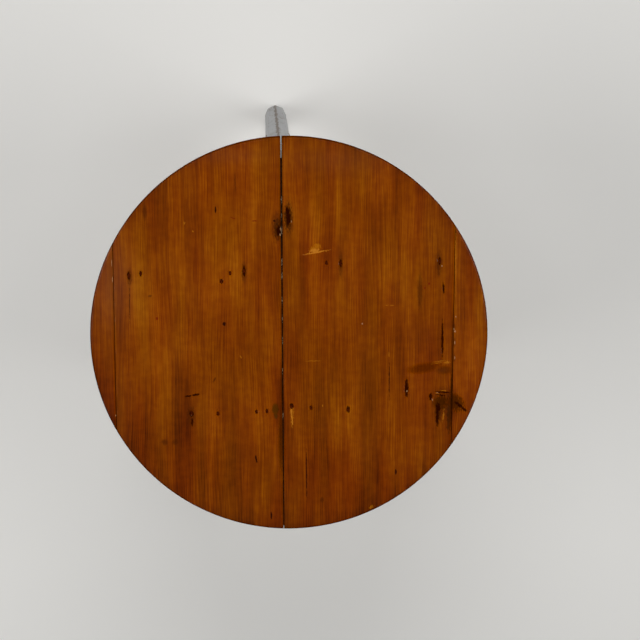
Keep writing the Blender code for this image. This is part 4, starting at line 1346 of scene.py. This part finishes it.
def worn_octagon(face, worn):
    """Outline of an eight-sided section for each station: offsets, and distance to the nearest arris.

    Seen from the middle, a face is as far off as its own distance divided by the cosine of the angle from
    its normal. That distance is cut short before the arris, by what has worn off there.
    """
    share = np.tile(FACE_SHARES, LEG_FACES)
    number = np.repeat(np.arange(LEG_FACES), len(FACE_SHARES))
    off_normal = np.arctan(share * math.tan(HALF_FACE))
    angle = (2 * number + 1) * HALF_FACE + off_normal
    nearest = (number + (share > 0)) % LEG_FACES
    corner = face.mean(1, keepdims=True) / math.cos(HALF_FACE) - worn[:, nearest]
    reach = np.minimum(face[:, number] / np.cos(off_normal), corner)
    arris = face[:, number] * math.tan(HALF_FACE) * (1 - np.abs(share))
    arris = np.where(nearest > 0, arris + KEPT_PAINT, OUTWARD_SPREAD * arris - RUBBED_PAINT)
    return np.stack([reach * np.cos(angle), reach * np.sin(angle)], axis=-1), arris


print("points round a leg:", LEG_FACES * len(FACE_SHARES))

# %% Make the legs
LEG_STEP = 5.0 * MM
SOLE_ROUND = 1.4 * MM
SOLE_LEVELS = np.array([0, 0.2, 0.6, 1.4]) * MM
FIRST_SLICE = 4 * MM
PLANING = 0.22 * MM
PLANING_WAVE = 110 * MM, 1.0
ARRIS_WORN, ARRIS_CHANGE = 0.45, 0.25  # mm
KICKED, KICK_HEIGHT = 0.5, 55 * MM
PAINT_STEP = 0.61  # metres between the patterns of two painted pieces, for each step of the seed


def paint_bar(name, shape, lay, arris, scuff, seed):
    """A painted bar, with the three fields that its paint reads. The seed moves its pattern."""
    fields = {
        "lay": lay.reshape(-1, 3) + PAINT_STEP * seed,
        "arris": arris.ravel(),
        "scuff": np.broadcast_to(scuff, arris.shape).ravel(),
    }
    return make_piece(name, shape, bar_faces(*arris.shape), fields, [grey_paint])


def make_leg(name, seed):
    """A post of level eight-sided slices: middle and width run straight from the sole's to the head's."""
    points = node_points(name)
    head = points[:, 2].max()
    sole_middle, sole_face, outward, sideways = leg_section(points, 0.0)
    head_middle, head_face, _, _ = leg_section(points, head)
    level = np.concatenate([SOLE_LEVELS, np.linspace(FIRST_SLICE, head, int(head / LEG_STEP))])
    share = level / head
    face = sole_face + share * (head_face - sole_face) - round_over(level, SOLE_ROUND)
    sides = SIDE_APART * np.arange(LEG_FACES)[None, :]
    planed = face[:, None] - PLANING * (1 + ripple(level[:, None], sides, *PLANING_WAVE, seed + 1))
    worn = MM * (ARRIS_WORN + ARRIS_CHANGE * ripple(level[:, None], sides, *ROUND_WAVE, seed))
    offsets, arris = worn_octagon(planed, worn)
    middle = sole_middle + share[:, None] * (head_middle - sole_middle)
    shape = middle[:, None, :] + offsets @ np.stack([outward, sideways])
    height = np.broadcast_to(level[:, None], arris.shape)
    lay = np.stack([offsets[..., 0], height, offsets[..., 1]], axis=-1)
    return paint_bar(name, shape, lay, arris, KICKED * np.exp(-height / KICK_HEIGHT), seed)


for number, leg in enumerate(("rear_leg", "front_left_leg", "front_right_leg")):
    make_leg(leg, 101 + 10 * number)

# %% [markdown]
# ## Rails and stretchers
# Three rails under the top and three thin stretchers near the floor tie the legs together. Each one leans
# with the legs, so its section is a slice of a sloping plank, and its shoulders are cut to meet the faces
# of the legs. A tenon runs on into each leg. Read from the solid: how far in and out the plank reaches at
# its lower and upper edge, and how long it is there. All points between follow by straight proportion.

# %% Make the rails and stretchers
BAR_STEP = 5.0 * MM
BAR_WAVE = 100 * MM, 400 * MM
RAIL_ROUNDS = 1.0 * MM, 2.4 * MM
TENON_ROUND = 0.5 * MM
PAST_SHOULDER = 3 * MM
STRETCHER_SCUFF = 0.25
FACINGS = {"front": 270.0, "left": 150.0, "right": 30.0}  # degrees


def turned(points, degrees):
    """Points turned about the upright axis."""
    return points @ turn_about_z(math.radians(degrees)).T


def edge_sizes(points, level):
    """Innermost and outermost reach at one level, and the half length at each of the two."""
    ring = at_level(points, level)
    inside, outside = ring[:, 1].min(), ring[:, 1].max()
    near, far = (at_level(ring, reach, axis=1)[:, 0].max() for reach in (inside, outside))
    return np.array([inside, outside, near, far])


def make_crosspiece(name, facing, seed):
    """A leaning plank with tenons: rounded rectangles between the shoulders, and two more at each end."""
    solid = turned(node_points(name) - AXIS, 90 - facing)
    low, high = solid[:, 2].min(), solid[:, 2].max()
    at_low, at_high = edge_sizes(solid, low), edge_sizes(solid, high)
    tenon = solid[solid[:, 0] > max(at_low[3], at_high[3]) + PAST_SHOULDER]
    tenon_low, tenon_high = tenon[:, 2].min(), tenon[:, 2].max()
    tips = [at_level(tenon, level) for level in (tenon_low, tenon_high)]
    tip_low, tip_high = (tip[:, 0].max() for tip in tips)
    tenon_half = np.ptp(tips[0][:, 1]) / 2

    count = int(2 * at_low[3] / BAR_STEP)
    share = np.concatenate([[-1, -1], np.linspace(-1, 1, count), [1, 1]])
    body = np.ones(count + 4, bool)
    body[[0, 1, -2, -1]] = False
    run = share * at_low[3]
    planed = (at_low[1] - at_low[0]) / 2 - PLANING * (1 + ripple(run, run, *BAR_WAVE, seed))
    thick = np.where(body, planed, tenon_half)
    deep = np.where(body, (high - low) / 2, (tenon_high - tenon_low) / 2)
    rounds = np.where(body[:, None], worn_rounds(run, *RAIL_ROUNDS, seed + 1), TENON_ROUND)
    offsets, arris = worn_section(thick, deep, rounds)

    z = np.where(body, (low + high) / 2, (tenon_low + tenon_high) / 2)[:, None] + offsets[..., 1]
    way_up = ((z - low) / (high - low))[..., None]
    inside, outside, near, far = np.moveaxis(at_low + way_up * (at_high - at_low), -1, 0)
    y = (inside + outside) / 2 + offsets[..., 0]
    x = share[:, None] * (near + (far - near) * (y - inside) / (outside - inside))
    tip = tip_low + (tip_high - tip_low) * (z - tenon_low) / (tenon_high - tenon_low)
    x[[0, -1]] = (share[:, None] * tip)[[0, -1]]
    shape = turned(np.stack([x, y, z], axis=-1), facing - 90) + AXIS
    lay = np.stack([offsets[..., 0], x, offsets[..., 1]], axis=-1)
    return paint_bar(name, shape, lay, arris, STRETCHER_SCUFF if "stretcher" in name else 0.0, seed)


for number, (side, facing) in enumerate(FACINGS.items()):
    make_crosspiece(f"{side}_rail", facing, 201 + 10 * number)
    make_crosspiece(f"{side}_stretcher", facing, 301 + 10 * number)

# %% [markdown]
# ## The cross batten
# One sawn batten runs under the four boards and holds them flat; the rear row of nails goes into it. Its
# ends are cut away underneath, so that they don't show past the rim. It is a bar like the others, only
# its half length grows from the lower edge up to where the cut ends.

# %% Make the batten
BATTEN_ROUNDS = 0.6 * MM, 1.6 * MM
BATTEN_SEED = 405
BATTEN_LAY = 3.1  # metres from the middle of its pattern

solid = node_points("cross_batten") - AXIS
low, high = solid[:, 2].min(), solid[:, 2].max()
long_half = solid[:, 0].max()
short_half = at_level(solid, low)[:, 0].max()
cut_end = at_level(solid, long_half, axis=0)[:, 2].min()
share = np.linspace(-1, 1, int(2 * long_half / BAR_STEP))
run = share * long_half
sawn = np.ptp(solid[:, 1]) / 2 - PLANING * (1 + ripple(run, run, *BAR_WAVE, BATTEN_SEED))
rounds = worn_rounds(run, *BATTEN_ROUNDS, BATTEN_SEED + 1)
offsets, arris = worn_section(sawn, np.full_like(run, (high - low) / 2), rounds)
z = (low + high) / 2 + offsets[..., 1]
x = share[:, None] * np.interp(z, [low, cut_end, high], [short_half, long_half, long_half])
y = (solid[:, 1].min() + solid[:, 1].max()) / 2 + offsets[..., 0]
fields = {"lay": np.stack([y, x, z], axis=-1).reshape(-1, 3) + BATTEN_LAY}
shape = np.stack([x, y, z], axis=-1) + AXIS
make_piece("cross_batten", shape, bar_faces(*arris.shape), fields, [dry_pine])

# %% [markdown]
# ## The shelf
# Two thin boards lie on the stretchers and are notched round the legs. They are slabs like the boards of
# the top, but with a corner-cut outline instead of a circle. The front board is ruled by lines from side
# to side, the rear one by lines from front to back, because each outline is crossed just twice that way.
# Near the outline the height falls off by a quarter round, and each nail sits in its pit.

# %% Measure and shape a shelf board
SHELF_STEP = 2.4 * MM
SHELF_EDGE_STEPS = np.array([0.3, 0.8, 1.5, 2.6]) * MM
SHELF_ROUND, SHELF_ROUND_CHANGE, SHELF_ROUND_WAVE = 1.6 * MM, 0.4, 90 * MM
SHELF_UNEVEN, SHELF_WAVE = 0.1 * MM, (200 * MM, 60 * MM)
SHELF_BEVEL = 1.0 * MM
SHELF_SCUFF = 0.2
ROUND_A_NAIL = 1.5 * MM  # corners this near a nail belong to its hole
SHELF_NAILS = [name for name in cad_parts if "shelf_nail" in name]


def shelf_corners(name):
    """Corners of the shelf board's upper outline, without those of its nail holes, and its two levels."""
    points = node_points(name)
    level = points[:, 2].max()
    corners = np.unique(at_level(points, level).round(6), axis=0)[:, :2]
    for nail in SHELF_NAILS:
        low, high = (np.array(corner[:2]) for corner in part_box(nail))
        hole = np.all((corners > low - ROUND_A_NAIL) & (corners < high + ROUND_A_NAIL), axis=1)
        corners = corners[~hole]
    return corners, level, points[:, 2].min()


def spread_between(start, end, extra=()):
    """Places from start to end: close together at both ends, one step apart between, with extra ones."""
    even = np.linspace(start, end, int(np.max(end - start) / SHELF_STEP))
    near_ends = [start + SHELF_EDGE_STEPS, end - SHELF_EDGE_STEPS]
    return np.unique(np.concatenate([even, *near_ends, extra]).round(7))


def outline_distance(x, y, corners):
    """Distance of each point from the nearest side of a closed outline."""
    place = np.stack([x, y], axis=-1)[..., None, :]
    side = np.roll(corners, -1, axis=0) - corners
    along = ((place - corners) * side).sum(-1) / (side**2).sum(-1)
    nearest = corners + np.clip(along, 0, 1)[..., None] * side
    return np.linalg.norm(place - nearest, axis=-1).min(-1)


def make_shelf_board(name, x, y, loop, level, underside, seed):
    """A slab over a ruled grid: flat, less the round at its outline, a faint unevenness and nail pits."""
    from_edge = outline_distance(x, y, loop)
    wander = ripple(x, y, SHELF_ROUND_WAVE, SHELF_ROUND_WAVE, seed)
    drop = round_over(from_edge, SHELF_ROUND * (1 + SHELF_ROUND_CHANGE * wander))
    drop = drop + SHELF_UNEVEN * (1 + ripple(x, y, *SHELF_WAVE, seed + 1)) + nail_pits(x, y, SHELF_NAILS)
    points, faces, finish = slab_shell(x, y, level - drop, underside, SHELF_BEVEL)
    arris = np.zeros(len(points))
    arris[: x.size] = from_edge.ravel()
    arris[x.size : x.size + len(loop_round(x))] = (level - underside) / 2
    fields = {
        "lay": points[:, [1, 0, 2]] + PAINT_STEP * seed,
        "arris": arris,
        "scuff": np.full(len(points), SHELF_SCUFF),
    }
    return make_piece(name, points, faces, fields, [grey_paint, dry_pine], finish)


print("nails in the shelf:", len(SHELF_NAILS))

# %% Make the shelf boards
corners, level, underside = shelf_corners("shelf_front_board")
right_side = corners[corners[:, 0] > 0]
right_side = right_side[np.argsort(right_side[:, 1])]
left_side = right_side[::-1] * [-1, 1]
rows = spread_between(right_side[0, 1], right_side[-1, 1], right_side[:, 1])[:, None]
reach = np.interp(rows, right_side[:, 1], right_side[:, 0])
widest = right_side[:, 0].max()
share = spread_between(-widest, widest)[None, :] / widest
x, y = (grid.T for grid in np.broadcast_arrays(share * reach, rows))
make_shelf_board("shelf_front_board", x, y, np.vstack([right_side, left_side]), level, underside, 501)

corners, level, underside = shelf_corners("shelf_rear_board")
rear_side = corners[np.argsort(corners[:, 0])]
columns = spread_between(rear_side[0, 0], rear_side[-1, 0], rear_side[:, 0])[:, None]
joint = rear_side[:, 1].min()
reach = np.interp(columns, rear_side[:, 0], rear_side[:, 1]) - joint
deepest = rear_side[:, 1].max() - joint
share = spread_between(0.0, deepest)[None, :] / deepest
x, y = np.broadcast_arrays(columns, joint + share * reach)
make_shelf_board("shelf_rear_board", x, y, rear_side[::-1], level, underside, 521)

# %% [markdown]
# ## Pegs and dowels
# Each tenon is locked by a peg of hard wood, shaved by hand and driven through the leg. Its end stands a
# hair proud, a little domed, with most of its paint rubbed away. The peg is eight rough flats carried
# along its axis. The dowels inside the joints of the top are turned rods that hardly show, so their
# solids stay, with bare wood on them.

# %% Mix the rubbed oak
# Shaved oak: brown, with open grain, and grey paint left in patches
DARK_OAK, PALE_OAK, LEFT_PAINT = "#5d4329", "#8a6a45", "#94918a"

peg_wood, tree, shader = start_material("rubbed_oak")
place = node(tree, "TexCoord").outputs["Object"]
noise = node(tree, "TexNoise", {"Vector": place, "Scale": 1 / (1.6 * MM), "Detail": 3.0}).outputs["Fac"]
grain = node(tree, "MapRange", {0: noise, 1: 0.35, 2: 0.65}).outputs[0]
patch = node(tree, "TexNoise", {"Vector": place, "Scale": 1 / (3.5 * MM), "Detail": 2.0}).outputs["Fac"]
painted = node(tree, "MapRange", {0: patch, 1: 0.45, 2: 0.58, 4: 0.8}, **SMOOTH).outputs[0]
oak = {0: grain, 6: linear(DARK_OAK), 7: linear(PALE_OAK)}
colour = node(tree, "Mix", oak, data_type="RGBA").outputs[2]
colour = node(tree, "Mix", {0: painted, 6: colour, 7: linear(LEFT_PAINT)}, data_type="RGBA").outputs[2]
bump = node(tree, "Bump", {"Height": grain, "Strength": 0.5, "Distance": 0.2 * MM}).outputs[0]
fill(tree, shader, {"Base Color": colour, "Roughness": 0.62, "Specular IOR Level": 0.35, "Normal": bump})
print("rubbed oak:", len(tree.nodes), "nodes")

# %% Mix the bare beech
# Turned beech: pale and even, with short flecks along the rod
DARK_BEECH, PALE_BEECH = "#a87c4c", "#bd9160"
BEECH_FLECKS = {"flecks": ((18, 1.2, 1.2), 3.0)}

dowel_wood, tree, shader = start_material("bare_beech")
place = node(tree, "TexCoord").outputs["Object"]
noise = stretched_noises(tree, place, BEECH_FLECKS)["flecks"]["Fac"]
flecks = node(tree, "MapRange", {0: noise, 1: 0.35, 2: 0.65}).outputs[0]
beech = {0: flecks, 6: linear(DARK_BEECH), 7: linear(PALE_BEECH)}
colour = node(tree, "Mix", beech, data_type="RGBA").outputs[2]
bump = node(tree, "Bump", {"Height": flecks, "Strength": 0.4, "Distance": 0.15 * MM}).outputs[0]
fill(tree, shader, {"Base Color": colour, "Roughness": 0.7, "Normal": bump})
print("bare beech:", len(tree.nodes), "nodes")

# %% Make the pegs, and finish the dowels
PEG_FLATS = 8
PEG_STATIONS = 12
DOME = 0.5 * MM
DOME_SHARES = np.array([0.25, 0.6, 0.85, 0.96])  # radius of the rings of a domed end
FLAT_DEPTH, SHAVING = 0.035, 0.02  # shares of the radius
SHAVING_WAVE = 2.5, 3.5  # radians


def make_peg(name, seed):
    """A tapered rod along the solid's long axis. Its radius dips at each flat, and its ends are domed."""
    solid = np.unique(node_points(name).round(6), axis=0)
    middle = solid.mean(0)
    axis = np.linalg.svd(solid - middle, full_matrices=False)[2][0]
    run = (solid - middle) @ axis
    out = np.linalg.norm(solid - middle - np.outer(run, axis), axis=1)
    half = run.max()
    radii = [out[way * run > 0].max() for way in (-1, 1)]
    dome = half - DOME * DOME_SHARES**2
    shaft = half - 1.2 * DOME
    place = np.concatenate([-dome, np.linspace(-shaft, shaft, PEG_STATIONS), dome[::-1]])
    share = np.concatenate([DOME_SHARES, np.ones(PEG_STATIONS), DOME_SHARES[::-1]])
    turn = np.linspace(0, 2 * np.pi, 6 * PEG_FLATS, endpoint=False)
    shaved = FLAT_DEPTH * (1 - np.abs(np.sin(turn * PEG_FLATS / 2)))
    flats = 1 - shaved - SHAVING * (1 + ripple(turn, turn, *SHAVING_WAVE, seed))
    radius = np.interp(place, [-half, half], radii) * share
    across = unit(np.cross(axis, [0, 0, 1]))
    ring = np.cos(turn)[:, None] * across + np.sin(turn)[:, None] * np.cross(axis, across)
    shape = middle + place[:, None, None] * axis + (radius[:, None] * flats)[..., None] * ring
    return make_piece(name, shape, bar_faces(*shape.shape[:2]), {}, [peg_wood])


pegs = sorted(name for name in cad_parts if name.endswith("_peg"))
for number, name in enumerate(pegs):
    make_peg(name, 601 + number)
dowels = [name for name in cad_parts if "_dowel_" in name]
for name in dowels:
    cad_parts[name].material_slots[0].material = dowel_wood
print("pegs:", len(pegs), "dowels:", len(dowels))

# %% [markdown]
# ## Nails
# The nails are cut iron, driven below the face and gone brown-black with rust. The solids have their
# shape already: a flat head on a tapered shank. Only the iron is laid on: dull dark scale, with rust in
# patches. It has no shine at all, because a bright head would catch the eye where the real ones look like
# holes.

# %% Mix the iron, and finish the nails
DARK_SCALE, RUST = "#330e02", "#541d05"

iron, tree, shader = start_material("rusted_cut_iron")
place = node(tree, "TexCoord").outputs["Object"]
rust = node(tree, "TexNoise", {"Vector": place, "Scale": 1 / (1.8 * MM), "Detail": 4.0}).outputs["Fac"]
patch = node(tree, "MapRange", {0: rust, 1: 0.42, 2: 0.62}, **SMOOTH).outputs[0]
scale = {0: patch, 6: linear(DARK_SCALE), 7: linear(RUST)}
colour = node(tree, "Mix", scale, data_type="RGBA").outputs[2]
dullness = node(tree, "MapRange", {0: patch, 3: 0.6, 4: 0.9}).outputs[0]
bump = node(tree, "Bump", {"Height": rust, "Strength": 0.6, "Distance": 0.2 * MM}).outputs[0]
finish = {"Base Color": colour, "Roughness": dullness, "Specular IOR Level": 0.0, "Normal": bump}
fill(tree, shader, finish)
nails = TOP_NAILS + SHELF_NAILS
for name in nails:
    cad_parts[name].material_slots[0].material = iron
print("nails:", len(nails))

# %% Measure the sizes
sizes = {"solids": solids_box, "dressed": [list(corner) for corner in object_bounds()]}
print("dressed:", sizes["dressed"])
